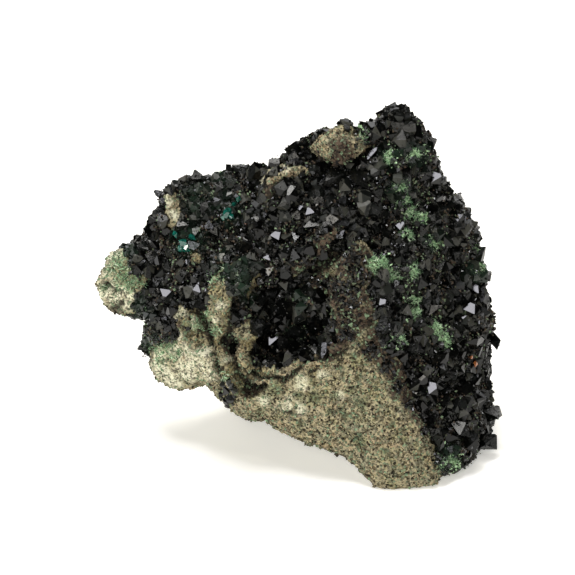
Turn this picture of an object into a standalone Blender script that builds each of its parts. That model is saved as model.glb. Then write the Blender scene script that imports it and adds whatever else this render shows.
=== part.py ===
"""Libethenite specimen: a broken piece of schist whose upper side carries a druse of dark crystals.

The specimen is described the way it is looked at. A landmark is (right, up, deep) in millimetres:
right and up are read in the picture plane of a viewer who looks down on it by VIEW_TILT, and deep is
its level distance behind the specimen's middle. stand() turns a landmark into the upright frame,
whose origin lies under the middle of the specimen, on the surface that it rests on.
"""

import itertools
import math
import random

import bmesh
import bpy
from mathutils import Euler, Matrix, Vector, noise
from mathutils.bvhtree import BVHTree

MM = 0.001
VIEW_TILT = math.radians(22)  # the viewer looks down by this much
FOOT_DEEP = -16.0  # the front foot, the point of the base that is nearest to the viewer
MIDDLE_RIGHT = 0.05  # where the middle of the whole specimen lies
MIDDLE_DEEP = 5.95
REACH = 100.0  # mm, farther than any point of the specimen is from its middle
RIM_DEEP = 4.0  # how deep the upper rim lies, where a line of sight can pass over the rock
TOUCHING = 0.001  # mm, points as near as this are one point

# Host rock: how its surface is made, in mm
ROCK_VOXEL = 0.8  # block edges are melted together at about this size
ROCK_SMOOTHING = 5  # passes that round the melted edges
ROCK_TRIANGLES = 2300
ROCK_SINK = 0.35  # the lowest part of the rough surface, cut off level so that the specimen rests on it
SWELLS = ((7.0, 1.0), (3.0, 0.55))  # (width, height) of the surface's broad and fine unevenness
FOLIATION = Vector((0.75, 0.2, 0.63)).normalized()  # across the schist's layers
LAYER_STEP = 2.6  # thickness of one layer
LAYER_BEND = (9.0, 0.8)  # the layers bend in waves as wide as this, by this many layers
LAYER_RELIEF = 0.35  # how far a layer's edge stands proud of the next one

# Druse: crystals of libethenite, orthorhombic, in the pseudo-octahedral form that prism and dome give
AXIAL_RATIO = (0.9601, 1.0, 0.7019)  # a : b : c
PRISM = (1, 1, 0)
DOME = (0, 1, 1)
SEED = 11
FACE_SHARE = 0.32  # of a crystal's size, from its middle to each face
CRYSTAL_SPACING = 2.9  # mm between neighbouring crystals' middles
CRYSTAL_SIZES = (2.9, 4.1)  # mm across, least and most
CRYSTAL_HABIT = (0.85, 1.15)  # distance of the dome faces over that of the prism faces, least and most
CRYSTAL_LIFT = 0.24  # of a crystal's size, from the rock's surface to its middle
CRYSTAL_GAP = 0.3  # mm left between the rock and the crust that grows on it
TIGHT_GAP = 0.075  # mm left in the rock's tightest corners
CORNER_STRETCH = 1.6  # a sharp corner moves at most this much farther than the faces that meet there
SKIN_MARGIN = 0.08  # mm more under the crust's own layer
SKIN_THICKNESS = 0.7  # mm from the gap to the top of the crust's own layer
DRUSE_TRIANGLES = 6200  # before the last trim
VIEWER_SIDE = 0.05  # a face that turns to the viewer by at least this share is on the viewer's side
FLANK_DEEP = 13.0  # the crust wraps round the right flank and the top about this far
FLANK_RAGGED = (8.0, 6.0)  # mm, the width and height of that edge's unevenness
FLANK_TURN = 0.35  # a hidden face carries crust where it turns to the right by more than this share
TOP_TURN = 0.2  # or upwards by more than this one
EDGE_PASSES = 3  # how often single spikes and notches are taken out of the crust's edge
CRUST_FLOOR = 3.0  # mm, no crystal grows lower than this
CRUST_END = 0.8  # mm, and none hangs down lower than this
BARE_TIP = -26.5  # left of this the rock is bare on its hidden side too
SCATTER_TRIES = 9000

# Finishes, as (linear colour, roughness)
SCHIST = ((0.30, 0.27, 0.20), 0.9)
LIBETHENITE = ((0.012, 0.018, 0.014), 0.15)


def stand(right, up, deep):
    """A landmark of the viewer's picture as a point of the upright frame, in millimetres."""
    height = (up - (deep - FOOT_DEEP) * math.sin(VIEW_TILT)) / math.cos(VIEW_TILT)
    return Vector((right - MIDDLE_RIGHT, deep - MIDDLE_DEEP, height))


def seen(point):
    """The (right, up, deep) landmark of a point of the upright frame, in millimetres."""
    deep = point.y + MIDDLE_DEEP
    up = point.z * math.cos(VIEW_TILT) + (deep - FOOT_DEEP) * math.sin(VIEW_TILT)
    return point.x + MIDDLE_RIGHT, up, deep


TO_VIEWER = Vector((0.0, -math.cos(VIEW_TILT), math.sin(VIEW_TILT)))

# Each block is the convex hull of its landmarks. The rock is the union of the blocks and lumps.
ROCK_BLOCKS = {
    "right_mass": [
        (22.0, 2.2, -13.3), (14.0, 3.0, -15), (12.5, 25.0, -14), (25.2, 4.2, -10), (29.8, 6.6, 1),
        (29.4, 15.0, 3), (29.4, 25.0, 3), (29.0, 34.0, 4), (27.0, 43.0, 5), (23.6, 49.0, 5),
        (19.6, 54.0, 4), (18.4, 58.5, 4), (8.0, 56.0, 2), (6.0, 41.0, -5), (18.0, 53.0, 16),
        (25.0, 44.0, 18), (27.0, 33.0, 22), (28.2, 21.0, 20), (8.0, 50.0, 19),
    ],
    "peak": [
        (18.0, 60.6, 5), (13.5, 61.0, 4), (10.8, 58.3, 3), (19.9, 57.0, 4), (17.0, 48.0, -3),
        (9.0, 50.0, -1), (14.0, 57.0, 13), (19.0, 53.0, 12),
    ],
    "front_face": [
        (-5.5, 10.7, -9), (0.5, 8.1, -12), (7.0, 6.9, -13.5), (9.6, 5.6, -14), (17.5, 14.0, -14.5),
        (10.5, 25.0, -14.5), (4.0, 21.8, -14.5), (-4.0, 18.5, -13), (-8.0, 14.0, -9), (14.0, 12.0, 6),
        (-3.0, 20.0, 4), (18.0, 14.0, 6), (1.0, 11.0, 2),
    ],
    "foot": [
        (8.6, 6.2, -13.8), (10.2, 2.8, -14.9), (12.8, 0.0, -15.9), (14.2, -0.6, -16.4), (17.8, -0.5, -16.4),
        (20.9, 0.7, -15.3), (23.0, 2.1, -13.2), (17.5, 14.0, -14.8), (11.0, 14.0, -14.8), (26.0, 4.6, -9),
        (14.5, 1.6, -11.7), (21.0, 6.6, 1.7), (14.0, 6.6, 1.7), (24.0, 10.0, 2), (12.0, 14.0, 2),
    ],
    "core": [
        (-4.0, 18.0, -6), (4.0, 21.0, -9), (12.0, 26.0, -10), (4.0, 38.0, -7), (-8.0, 36.0, -5),
        (-10.0, 25.0, -3), (-6.0, 50.5, 5), (2.0, 55.8, 5), (10.0, 58.0, 5), (3.0, 49.5, -1),
        (-3.0, 48.0, -2), (12.0, 47.0, -5), (-14.0, 42.0, 17), (-6.0, 46.0, 19), (6.0, 50.0, 20),
        (20.0, 48.0, 20), (-15.0, 28.0, 18), (-6.0, 22.0, 22),
    ],
    "rear_base": [
        (7.0, 6.75, 2.0), (-9.5, 13.0, 18.7), (-6.5, 15.0, 24), (18.0, 15.6, 25), (27.0, 12.7, 18),
        (28.4, 7.2, 3.2), (20.0, 6.6, 1.7), (-12.0, 20.0, 16), (-11.0, 23.0, 22), (-4.0, 30.0, 25),
        (14.0, 30.0, 27), (25.0, 28.0, 25), (28.0, 16.0, 6), (6.0, 14.0, -2),
    ],
    "back": [
        (-12.0, 24.0, 22), (-14.0, 40.0, 18), (-9.0, 45.0, 19), (6.0, 49.0, 21), (20.0, 48.0, 20),
        (27.0, 42.0, 17), (29.0, 31.0, 21), (28.0, 22.0, 20), (14.0, 33.0, 28), (24.0, 30.0, 25),
        (-6.0, 26.0, 25), (2.0, 40.0, 26), (18.0, 15.6, 25), (26.0, 14.0, 18), (-6.5, 15.0, 24),
    ],
    "left_slope": [
        (-6.0, 52.0, 6), (-12.0, 50.6, 7), (-18.6, 49.0, 7), (-21.6, 45.6, 6), (-24.0, 40.8, 5),
        (-26.8, 37.6, 4), (-24.0, 31.0, -1), (-23.6, 26.0, -1), (-19.0, 29.0, -4), (-13.0, 33.5, -6),
        (-5.0, 36.0, -7), (2.0, 38.0, -7), (4.0, 50.0, 2), (-1.0, 53.5, 4), (-24.0, 42.0, 13),
        (-19.0, 45.0, 16), (-8.0, 46.0, 19), (-23.0, 32.0, 13), (-16.0, 29.0, 18), (4.0, 50.0, 17),
    ],
    "left_body": [
        (-19.0, 29.0, -4), (-18.0, 23.0, -5), (-13.5, 16.4, -5.5), (-11.0, 13.4, -6), (-7.5, 11.4, -7),
        (-2.0, 12.0, -9), (-8.5, 27.0, -7), (-13.0, 33.0, -7), (-6.0, 18.0, -11), (-10.0, 18.0, -8.5),
        (-19.0, 25.0, 14), (-12.5, 17.0, 15), (-8.0, 13.0, 14), (-14.0, 34.0, 18), (-10.0, 22.0, 20),
    ],
    "low_left_lobe": [
        (-24.0, 23.5, 0), (-25.0, 20.5, 1), (-24.0, 17.7, 1), (-22.0, 16.3, 1), (-18.5, 16.3, 0),
        (-15.0, 17.5, -2), (-13.5, 22.0, -6), (-18.0, 26.0, -5), (-23.8, 27.0, 0), (-23.6, 24.0, 9),
        (-21.0, 19.0, 10), (-14.0, 19.5, 12), (-23.0, 29.0, 12), (-14.0, 26.0, 16),
    ],
    "left_tip": [
        (-33.4, 31.4, 4), (-32.3, 29.3, 4), (-29.0, 28.3, 3), (-26.0, 27.9, 1), (-24.0, 30.0, -1),
        (-33.0, 34.2, 4), (-31.2, 38.0, 4), (-29.4, 39.6, 5), (-25.0, 38.0, 2), (-26.0, 33.0, -1),
        (-31.2, 33.5, 9), (-28.0, 31.0, 10), (-27.5, 38.0, 11), (-23.0, 31.0, 13), (-23.0, 40.0, 14),
    ],
    "middle_ridge": [
        (12.5, 26.0, -13.5), (9.0, 30.0, -12.5), (6.5, 38.0, -11), (10.0, 42.0, -9), (14.0, 34.0, -11),
        (5.0, 24.0, -13), (5.0, 31.0, -10), (8.0, 30.0, 4), (6.0, 41.0, -6),
    ],
    "rim_knob": [
        (3.0, 53.2, -1), (4.5, 56.4, 1), (5.6, 58.3, 2), (8.5, 58.0, 1), (9.8, 55.5, -1),
        (9.3, 53.6, -2.5), (6.5, 52.6, -3), (7.0, 55.0, 6),
    ],
    "slab_rim": [
        (-6.2, 48.6, -3), (-5.0, 50.6, -1), (-1.5, 51.6, 0), (1.5, 50.5, -1), (-5.8, 46.0, -4),
        (0.0, 46.5, -4.5), (-3.0, 49.0, 6), (2.0, 49.0, 5),
    ],
}

# A lump or a hollow is a rounded rod between two landmarks, with a radius in mm at each.
ROCK_LUMPS = {
    "pocket_finger": ((-8.2, 26.5, -9.0), 1.0, (-9.2, 20.3, -10.0), 1.5),
    "outer_finger": ((-12.6, 22.5, -8.5), 1.2, (-11.0, 18.6, -9.0), 1.4),
    "upper_ledge": ((-18.2, 28.3, -5.5), 1.3, (-14.5, 26.0, -7.5), 1.8),
    "lower_ledge": ((-14.5, 26.0, -7.5), 1.8, (-13.5, 20.5, -8.0), 1.6),
    "ledge_rim": ((-14.0, 29.5, -7.5), 1.8, (-10.0, 34.5, -9.0), 1.2),
    "inner_ledge": ((-11.5, 31.5, -8.5), 1.3, (-10.5, 25.5, -9.0), 1.4),
    "pocket_lip": ((-5.5, 18.0, -12.6), 1.3, (-0.5, 19.6, -14.0), 1.0),
    "lip_slab": ((0.0, 20.3, -13.8), 1.0, (6.5, 23.2, -14.0), 1.5),
    "channel_rim": ((-1.0, 36.3, -9.0), 0.9, (5.0, 41.3, -8.5), 1.1),
    "tip_knob": ((-21.4, 48.2, 5.0), 1.3, (-20.6, 43.5, 2.5), 1.3),
    "bottom_knob": ((-9.0, 14.2, -9.0), 1.3, (-6.5, 13.8, -10.5), 1.2),
}
ROCK_HOLLOWS = {
    "pocket": ((-5.8, 30.0, -11.5), 3.6, (-2.2, 24.2, -13.5), 3.6),
    "pocket_right": ((1.5, 27.0, -13.5), 2.6, (0.5, 31.0, -12.0), 2.4),
    "channel": ((7.0, 42.0, -11.0), 1.5, (-0.5, 34.0, -10.5), 2.2),
    "under_knob": ((3.0, 51.3, -3.5), 1.0, (9.0, 52.0, -4.5), 1.1),
    "under_slab": ((-4.5, 44.6, -6.0), 1.1, (1.0, 45.6, -6.5), 1.2),
    "bottom_hole": ((-8.6, 16.2, -10.5), 0.7, (-5.6, 16.4, -13.5), 0.9),
    "left_step": ((-20.5, 27.5, -6.5), 2.0, (-16.0, 31.5, -8.0), 1.6),
}

# Outlines, as (right, up), of the places on the viewer's side where the rock shows through the crust.
BARE_PLACES = {
    "broken_front_and_ledges": [
        (-30, 10), (-25, 22.5), (-21, 22.5), (-19, 25), (-18.8, 28.5), (-16, 29.5), (-13.5, 31),
        (-14, 34), (-12, 35.5), (-9, 36), (-6.5, 34.5), (-6.5, 31.5), (-9, 29.5), (-9.5, 27),
        (-8.3, 25.5), (-8.5, 21.5), (-7.5, 20.3), (-5.5, 19.6), (-3, 20), (0.5, 20.8), (1, 22.5),
        (2.5, 24), (5, 25), (5, 28), (4.5, 31), (5, 33.5), (7, 39.5), (10, 38.5), (11, 36),
        (11, 33.5), (10.5, 30), (12, 27), (13.5, 25.5), (15, 23.5), (15, 21), (16.5, 19), (17, 16),
        (18.5, 14), (20, 11), (20.5, 8.5), (21.5, 6.5), (25, 6), (27, 3), (27, -5), (-30, -5),
    ],
    "left_tip": [
        (-34, 27), (-34, 34), (-30.5, 38.5), (-28.5, 40), (-27, 37.5), (-26.5, 34.5), (-25.5, 32), (-26, 28),
    ],
    "knob": [
        (3, 53.3), (3.5, 54.5), (5, 55.5), (5.2, 57.5), (6, 58.5), (8, 58.7), (9, 57), (9.5, 55), (8, 53.5),
        (6, 52.4), (4, 52.6),
    ],
    "slab": [
        (-6.8, 46.5), (-6.8, 51.2), (-3, 52), (0.5, 51), (0.3, 50), (-3, 49.9), (-4.6, 49), (-5, 46.5),
    ],
    "pale_strip": [(-23.5, 45.5), (-22.5, 49.5), (-20.5, 50), (-20, 47), (-20, 42), (-21.3, 41.5), (-21.8, 45)],
}

# The crystals that stand out: (right, up, mm across). They are placed before the others.
LEADING_CRYSTALS = {
    "peak": [(14.2, 60.6, 4.0), (16.6, 60.7, 3.8), (11.6, 58.8, 3.4), (19.0, 58.4, 3.4)],
    "top": [(1.8, 56.0, 4.0), (9.8, 57.0, 3.2), (-1.8, 53.2, 3.4), (-7.0, 51.6, 3.2), (-12.8, 50.8, 3.2)],
    "under_knob": [(5.9, 50.2, 4.6), (9.4, 49.9, 4.4), (11.7, 53.3, 3.8), (2.0, 51.8, 3.6)],
    "right_side": [
        (20.8, 50.4, 4.0), (15.8, 42.1, 3.8), (27.0, 28.5, 4.0), (20.3, 16.3, 3.6), (27.4, 32.3, 3.6),
        (12.8, 30.1, 3.4), (17.6, 22.7, 3.8), (17.0, 34.9, 3.6), (28.0, 42.0, 3.4), (23.6, 38.0, 3.6),
    ],
    "right_outline": [
        (30.4, 24.5, 4.4), (30.3, 17.3, 3.8), (30.2, 12.4, 4.2), (29.6, 9.8, 4.2), (25.6, 8.2, 4.4),
        (30.2, 33.6, 3.6),
    ],
    "left_side": [
        (-3.7, 40.8, 3.6), (1.6, 44.6, 3.6), (-21.0, 31.8, 3.4), (-16.0, 32.2, 3.4), (-18.3, 49.4, 3.6),
    ],
    "pocket": [
        (-3.4, 29.4, 4.4), (-3.8, 32.2, 4.0), (-7.2, 30.2, 3.4), (-4.0, 24.8, 4.0), (-6.6, 25.4, 3.6),
        (-0.3, 25.6, 4.2), (-5.8, 21.4, 3.4), (1.2, 29.0, 3.6),
    ],
}
EDGE_CRYSTALS = [(-11.6, 15.9, 3.0), (-12.5, 15.0, 2.6), (-10.8, 14.9, 2.6), (-12.1, 17.2, 2.6)]


def hull(points):
    """A closed convex mesh around points of the upright frame, in metres."""
    shape = bmesh.new()
    for point in points:
        shape.verts.new(point * MM)
    found = bmesh.ops.convex_hull(shape, input=shape.verts)
    spare = {g for g in found["geom_interior"] + found["geom_unused"] if isinstance(g, bmesh.types.BMVert)}
    bmesh.ops.delete(shape, geom=list(spare), context="VERTS")
    return shape


def rod(start, start_radius, end, end_radius):
    """A rounded rod between two points of the upright frame, with a radius in millimetres at each."""
    ball = bmesh.new()
    bmesh.ops.create_icosphere(ball, subdivisions=2, radius=1.0)
    directions = [vert.co.copy() for vert in ball.verts]
    ball.free()
    ends = ((start, start_radius), (end, end_radius))
    return hull([centre + direction * radius for centre, radius in ends for direction in directions])


def rods(table):
    """One rounded rod for each row of a table of lumps or hollows."""
    return [rod(stand(*start), thick, stand(*end), thin) for start, thick, end, thin in table.values()]


def joined(shapes):
    """One mesh that holds every shape."""
    whole = bpy.data.meshes.new("joined")
    into = bmesh.new()
    for shape in shapes:
        part = bpy.data.meshes.new("part")
        shape.to_mesh(part)
        into.from_mesh(part)
        bpy.data.meshes.remove(part)
        shape.free()
    into.to_mesh(whole)
    into.free()
    return whole


def add_object(name, mesh):
    """A new object in the scene."""
    new = bpy.data.objects.new(name, mesh)
    bpy.context.scene.collection.objects.link(new)
    return new


def apply_modifiers(target):
    """Replaces the object's mesh with what its modifiers make of it."""
    bpy.context.view_layer.update()
    seen_now = target.evaluated_get(bpy.context.evaluated_depsgraph_get())
    made = bpy.data.meshes.new_from_object(seen_now)
    target.modifiers.clear()
    target.data = made


def clear_scene():
    """Removes the startup scene's objects."""
    for old in list(bpy.data.objects):
        bpy.data.objects.remove(old)


def melt(target, size):
    """Melts what the object holds into one skin, by remeshing."""
    melting = target.modifiers.new("melt", "REMESH")
    melting.mode = "VOXEL"
    melting.voxel_size = size * MM
    apply_modifiers(target)


def combine(target, other, operation):
    """Joins the other object to the target, or cuts it away, and removes it."""
    change = target.modifiers.new("combine", "BOOLEAN")
    change.operation = operation
    change.solver = "MANIFOLD"  # the exact solver leaves edges that more than two faces share here
    change.object = other
    apply_modifiers(target)
    bpy.data.objects.remove(other)


def grown_together(name, shapes):
    """One object that the shapes make together, joined pair by pair."""
    bodies = [add_object(name, joined([shape])) for shape in shapes]
    while len(bodies) > 1:
        for first, second in zip(bodies[::2], bodies[1::2]):
            combine(first, second, "UNION")
        bodies = bodies[::2]
    bodies[0].name = name
    return bodies[0]


def reduce_to(target, triangles):
    """Merges the flattest faces until the object has about this many triangles."""
    target.data.calc_loop_triangles()
    thinning = target.modifiers.new("thinning", "DECIMATE")
    thinning.ratio = min(1.0, triangles / len(target.data.loop_triangles))
    thinning.use_collapse_triangulate = True
    apply_modifiers(target)


def keep_largest_body(target):
    """Removes the loose crumbs that a cut leaves."""
    shape = bmesh.new()
    shape.from_mesh(target.data)
    left = set(shape.verts)
    bodies = []
    while left:
        body = {left.pop()}
        border = list(body)
        while border:
            vert = border.pop()
            for edge in vert.link_edges:
                other = edge.other_vert(vert)
                if other in left:
                    left.discard(other)
                    body.add(other)
                    border.append(other)
        bodies.append(body)
    bodies.sort(key=len)
    for body in bodies[:-1]:
        bmesh.ops.delete(shape, geom=list(body), context="VERTS")
    shape.to_mesh(target.data)
    shape.free()


def roughness_at(point):
    """How far the rock's surface stands proud at a point, in mm: swells, and the edges of its layers."""
    height = sum(tall * noise.noise(point / wide) for wide, tall in SWELLS)
    width, layers = LAYER_BEND
    across = point.dot(FOLIATION) / LAYER_STEP + layers * noise.noise(point / width)
    return height + LAYER_RELIEF * (across - math.floor(across) - 0.5)


def roughen(target):
    """Moves the surface in and out along its normals."""
    shape = bmesh.new()
    shape.from_mesh(target.data)
    shape.normal_update()
    moves = [(vert, vert.normal * roughness_at(vert.co / MM) * MM) for vert in shape.verts]
    for vert, move in moves:
        vert.co += move
    shape.to_mesh(target.data)
    shape.free()


def cut_level(target, height):
    """Cuts off what lies lower than a height in mm."""
    shape = bmesh.new()
    side = 2 * REACH * MM
    below = Matrix.Translation((0.0, 0.0, height * MM - side / 2))
    bmesh.ops.create_cube(shape, size=side, matrix=below)
    combine(target, add_object("level_cutter", joined([shape])), "DIFFERENCE")


def make_rock():
    """The host rock: blocks and lumps melted together, hollows cut out, a rough surface and a level base."""
    blocks = [hull([stand(*landmark) for landmark in block]) for block in ROCK_BLOCKS.values()]
    rock = add_object("matrix", joined(blocks + rods(ROCK_LUMPS)))
    melt(rock, ROCK_VOXEL)
    hollows = add_object("hollows", joined(rods(ROCK_HOLLOWS)))
    melt(hollows, ROCK_VOXEL)
    combine(rock, hollows, "DIFFERENCE")
    melt(rock, ROCK_VOXEL)
    rounding = rock.modifiers.new("rounding", "SMOOTH")
    rounding.iterations = ROCK_SMOOTHING
    apply_modifiers(rock)
    roughen(rock)
    reduce_to(rock, ROCK_TRIANGLES)
    rock.data.transform(Matrix.Translation((0.0, 0.0, -ROCK_SINK * MM)))
    cut_level(rock, 0.0)
    keep_largest_body(rock)
    return rock


def inside(outline, right, up):
    """Whether a point of the picture plane lies inside an outline."""
    within = False
    for (x0, y0), (x1, y1) in zip(outline, outline[1:] + outline[:1]):
        if (y0 > up) != (y1 > up) and right < x0 + (up - y0) * (x1 - x0) / (y1 - y0):
            within = not within
    return within


def is_crusted(point, normal):
    """Whether crystals grow on the rock at a point of its surface, in mm."""
    right, up, deep = seen(point)
    if point.z < CRUST_FLOOR:
        return False
    if normal.dot(TO_VIEWER) > VIEWER_SIDE or right < BARE_TIP:
        return not any(inside(outline, right, up) for outline in BARE_PLACES.values())
    width, height = FLANK_RAGGED
    edge = FLANK_DEEP + height * noise.noise(point / width)
    return deep < edge and (normal.x > FLANK_TURN or normal.z > TOP_TURN)


def crystal_planes(prism_distance, dome_distance):
    """The prism and dome faces of a crystal as (normal, distance from its middle)."""
    planes = []
    for indices, distance in ((PRISM, prism_distance), (DOME, dome_distance)):
        for signs in itertools.product((1, -1), repeat=3):
            normal = Vector(sign * index / length for sign, index, length in zip(signs, indices, AXIAL_RATIO))
            normal.normalize()
            if all((normal - known).length > TOUCHING for known, _ in planes):
                planes.append((normal, distance))
    return planes


def corners_between(planes):
    """The corners of the convex body that the planes bound."""
    corners = []
    for three in itertools.combinations(planes, 3):
        facing = Matrix([normal for normal, _ in three])
        if abs(facing.determinant()) < TOUCHING:
            continue  # two of them are parallel, or all three meet in a line
        corner = facing.inverted() @ Vector(distance for _, distance in three)
        if all(corner.dot(normal) < distance + TOUCHING for normal, distance in planes):
            if all((corner - known).length > TOUCHING for known in corners):
                corners.append(corner)
    return corners


def crystal(point, normal, size, chance):
    """A crystal turned at random that stands on a point of the rock, cut off level inside the crust's skin."""
    radius = size * FACE_SHARE
    turn = Euler([chance.uniform(0.0, 2.0 * math.pi) for _ in range(3)]).to_matrix()
    planes = crystal_planes(radius, radius * chance.uniform(*CRYSTAL_HABIT))
    faces = [(turn @ face, distance) for face, distance in planes]
    lift = CRYSTAL_LIFT * size
    faces.append((-normal, lift - (CRYSTAL_GAP + SKIN_THICKNESS / 2)))
    middle = point + normal * lift
    return hull([middle + corner for corner in corners_between(faces)])


def landing(skin, right, up):
    """Where the viewer's line of sight through (right, up) meets the rock, and the rock's normal there."""
    start = stand(right, up, 0.0) + REACH * TO_VIEWER
    point, normal, _, _ = skin.ray_cast(start, -TO_VIEWER)
    if point is None:
        point, normal, _, _ = skin.find_nearest(stand(right, up, RIM_DEEP))
    return point, normal


def skin_of(target):
    """The object's surface in mm, for measuring."""
    shape = bmesh.new()
    shape.from_mesh(target.data)
    bmesh.ops.scale(shape, vec=(1 / MM, 1 / MM, 1 / MM), verts=shape.verts)
    skin = BVHTree.FromBMesh(shape)
    shape.free()
    return skin


def scattered_points(target, chance):
    """Points spread at random over the rock's faces, evenly by area: (point, normal) in mm."""
    target.data.calc_loop_triangles()
    faces = target.data.loop_triangles
    vertices = target.data.vertices
    for face in chance.choices(faces, weights=[face.area for face in faces], k=SCATTER_TRIES):
        a, b, c = (vertices[index].co / MM for index in face.vertices)
        along, across = sorted((chance.random(), chance.random()))
        yield a * along + b * (across - along) + c * (1.0 - across), face.normal


def crystal_sites(rock, chance):
    """Where the crust's crystals stand: (point, normal, size), the leading ones first."""
    skin = skin_of(rock)
    sites = []
    for group in LEADING_CRYSTALS.values():
        for right, up, size in group:
            point, normal = landing(skin, right, up)
            sites.append((point, normal, size))
    for point, normal in scattered_points(rock, chance):
        if not is_crusted(point, normal):
            continue
        if all((point - other).length > CRYSTAL_SPACING for other, _, _ in sites):
            sites.append((point, normal, chance.uniform(*CRYSTAL_SIZES)))
    return sites


def grow(shape, thickness):
    """Moves every point of a shape outwards, so that its faces move by the thickness in mm."""
    shape.normal_update()
    stretches = [min(vert.calc_shell_factor(), CORNER_STRETCH) for vert in shape.verts]
    for vert, stretch in zip(shape.verts, stretches):
        vert.co += vert.normal * stretch * thickness * MM


def rock_shape(rock):
    """The rock's surface in triangles, for building on."""
    shape = bmesh.new()
    shape.from_mesh(rock.data)
    bmesh.ops.triangulate(shape, faces=shape.faces)
    shape.normal_update()
    return shape


def chosen_sides(face, chosen):
    """How many of the faces beside a face are chosen."""
    return sum(other in chosen for edge in face.edges for other in edge.link_faces if other is not face)


def crusted_faces(shape):
    """The rock's faces that carry the crust, in one patch with an even edge that no single point pinches."""
    chosen = {face for face in shape.faces if is_crusted(face.calc_center_median() / MM, face.normal)}
    for _ in range(EDGE_PASSES):
        chosen = {face for face in shape.faces if chosen_sides(face, chosen) > (face not in chosen)}
    pinched = True
    while pinched:
        pinched = False
        for vert in shape.verts:
            rims = sum(sum(face in chosen for face in edge.link_faces) == 1 for edge in vert.link_edges)
            if rims > 2:
                chosen.update(vert.link_faces)
                pinched = True
    patches = []
    left = set(chosen)
    while left:
        patch = [left.pop()]
        for face in patch:
            for edge in face.edges:
                for other in edge.link_faces:
                    if other in left:
                        left.discard(other)
                        patch.append(other)
        patches.append(patch)
    return max(patches, key=len)


def crust_skin(rock):
    """The crust's own layer, a shell of even thickness over the crusted faces, at the gap from the rock."""
    under = rock_shape(rock)
    grow(under, CRYSTAL_GAP + SKIN_MARGIN)
    over = rock_shape(rock)
    faces = crusted_faces(over)
    grow(over, CRYSTAL_GAP + SKIN_THICKNESS)
    under.verts.ensure_lookup_table()
    skin = bmesh.new()
    low = {}
    high = {}
    for face in faces:
        for vert in face.verts:
            if vert.index not in low:
                low[vert.index] = skin.verts.new(under.verts[vert.index].co)
                high[vert.index] = skin.verts.new(vert.co)
    chosen = set(faces)
    for face in faces:
        ring = [vert.index for vert in face.verts]
        skin.faces.new([high[index] for index in ring])
        skin.faces.new([low[index] for index in reversed(ring)])
        for loop in face.loops:
            if sum(other in chosen for other in loop.edge.link_faces) == 1:
                a, b = loop.vert.index, loop.link_loop_next.vert.index
                skin.faces.new((high[b], high[a], low[a], low[b]))
    under.free()
    over.free()
    return skin


def trim_to_rock(crust, rock):
    """Cuts away what would come nearer to the rock than the gap, and what is left in its tightest corners."""
    for gap in (CRYSTAL_GAP, TIGHT_GAP):
        cutter = rock_shape(rock)
        grow(cutter, gap)
        combine(crust, add_object("thicker_rock", joined([cutter])), "DIFFERENCE")
    cut_level(crust, CRUST_END)
    keep_largest_body(crust)


def make_druse(rock):
    """The crust: its skin and all its crystals, grown into one body."""
    chance = random.Random(SEED)
    crystals = [crystal(*site, chance) for site in crystal_sites(rock, chance)]
    druse = grown_together("libethenite_druse", [crust_skin(rock)] + crystals)
    keep_largest_body(druse)
    reduce_to(druse, DRUSE_TRIANGLES)
    trim_to_rock(druse, rock)
    return druse


def make_edge_crystals(rock):
    """The few crystals that stand apart from the druse, at the rock's lower left edge."""
    chance = random.Random(SEED + 1)
    skin = skin_of(rock)
    crystals = [crystal(*landing(skin, right, up), size, chance) for right, up, size in EDGE_CRYSTALS]
    cluster = grown_together("edge_crystals", crystals)
    trim_to_rock(cluster, rock)
    return cluster


def give_material(target, name, colour, roughness):
    """A plain finish of one colour."""
    finish = bpy.data.materials.new(name)
    finish.use_nodes = True
    shader = finish.node_tree.nodes["Principled BSDF"]
    shader.inputs["Base Color"].default_value = (*colour, 1.0)
    shader.inputs["Roughness"].default_value = roughness
    shader.inputs["Metallic"].default_value = 0.0
    target.data.materials.clear()
    target.data.materials.append(finish)


def main():
    clear_scene()
    rock = make_rock()
    druse = make_druse(rock)
    cluster = make_edge_crystals(rock)
    give_material(rock, "schist", *SCHIST)
    give_material(druse, "libethenite", *LIBETHENITE)
    give_material(cluster, "libethenite", *LIBETHENITE)


main()
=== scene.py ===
import math
import random

import bmesh
import bpy
import numpy as np
from mathutils import Euler, Matrix, Vector, noise
from mathutils.bvhtree import BVHTree


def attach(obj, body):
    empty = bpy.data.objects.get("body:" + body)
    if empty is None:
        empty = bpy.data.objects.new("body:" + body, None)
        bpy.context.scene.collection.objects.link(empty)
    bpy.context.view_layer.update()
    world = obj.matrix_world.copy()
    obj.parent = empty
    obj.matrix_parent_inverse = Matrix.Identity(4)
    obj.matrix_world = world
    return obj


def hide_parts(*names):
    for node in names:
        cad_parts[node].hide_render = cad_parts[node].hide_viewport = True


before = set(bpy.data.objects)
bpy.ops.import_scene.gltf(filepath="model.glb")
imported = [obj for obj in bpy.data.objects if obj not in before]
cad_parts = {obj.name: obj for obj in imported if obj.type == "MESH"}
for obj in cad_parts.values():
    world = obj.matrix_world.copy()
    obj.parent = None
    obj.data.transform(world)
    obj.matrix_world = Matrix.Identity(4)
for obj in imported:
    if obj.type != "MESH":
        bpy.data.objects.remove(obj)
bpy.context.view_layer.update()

mm = 0.001
print("frame loaded")

# How the specimen is looked at. Every place below that has no unit is (across, down) in pixels of this view.
view = {
    "tilt": math.radians(22),  # the camera looks down by this much
    "lens": 350.0,
    "sensor": 36.0,
    "picture": 575,  # pixels
    "pixel": 0.16,  # mm that one pixel spans at the specimen's middle
    "aim": (-2.05, -5.95, 28.51),  # mm, the point in the middle of the picture
}
toViewer = Vector((0.0, -math.cos(view["tilt"]), math.sin(view["tilt"])))
pictureUp = Vector((0.0, math.sin(view["tilt"]), math.cos(view["tilt"])))
aim = Vector(view["aim"]) * mm
eyeDistance = view["picture"] * view["pixel"] * mm * view["lens"] / view["sensor"]
eye = aim + toViewer * eyeDistance


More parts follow.
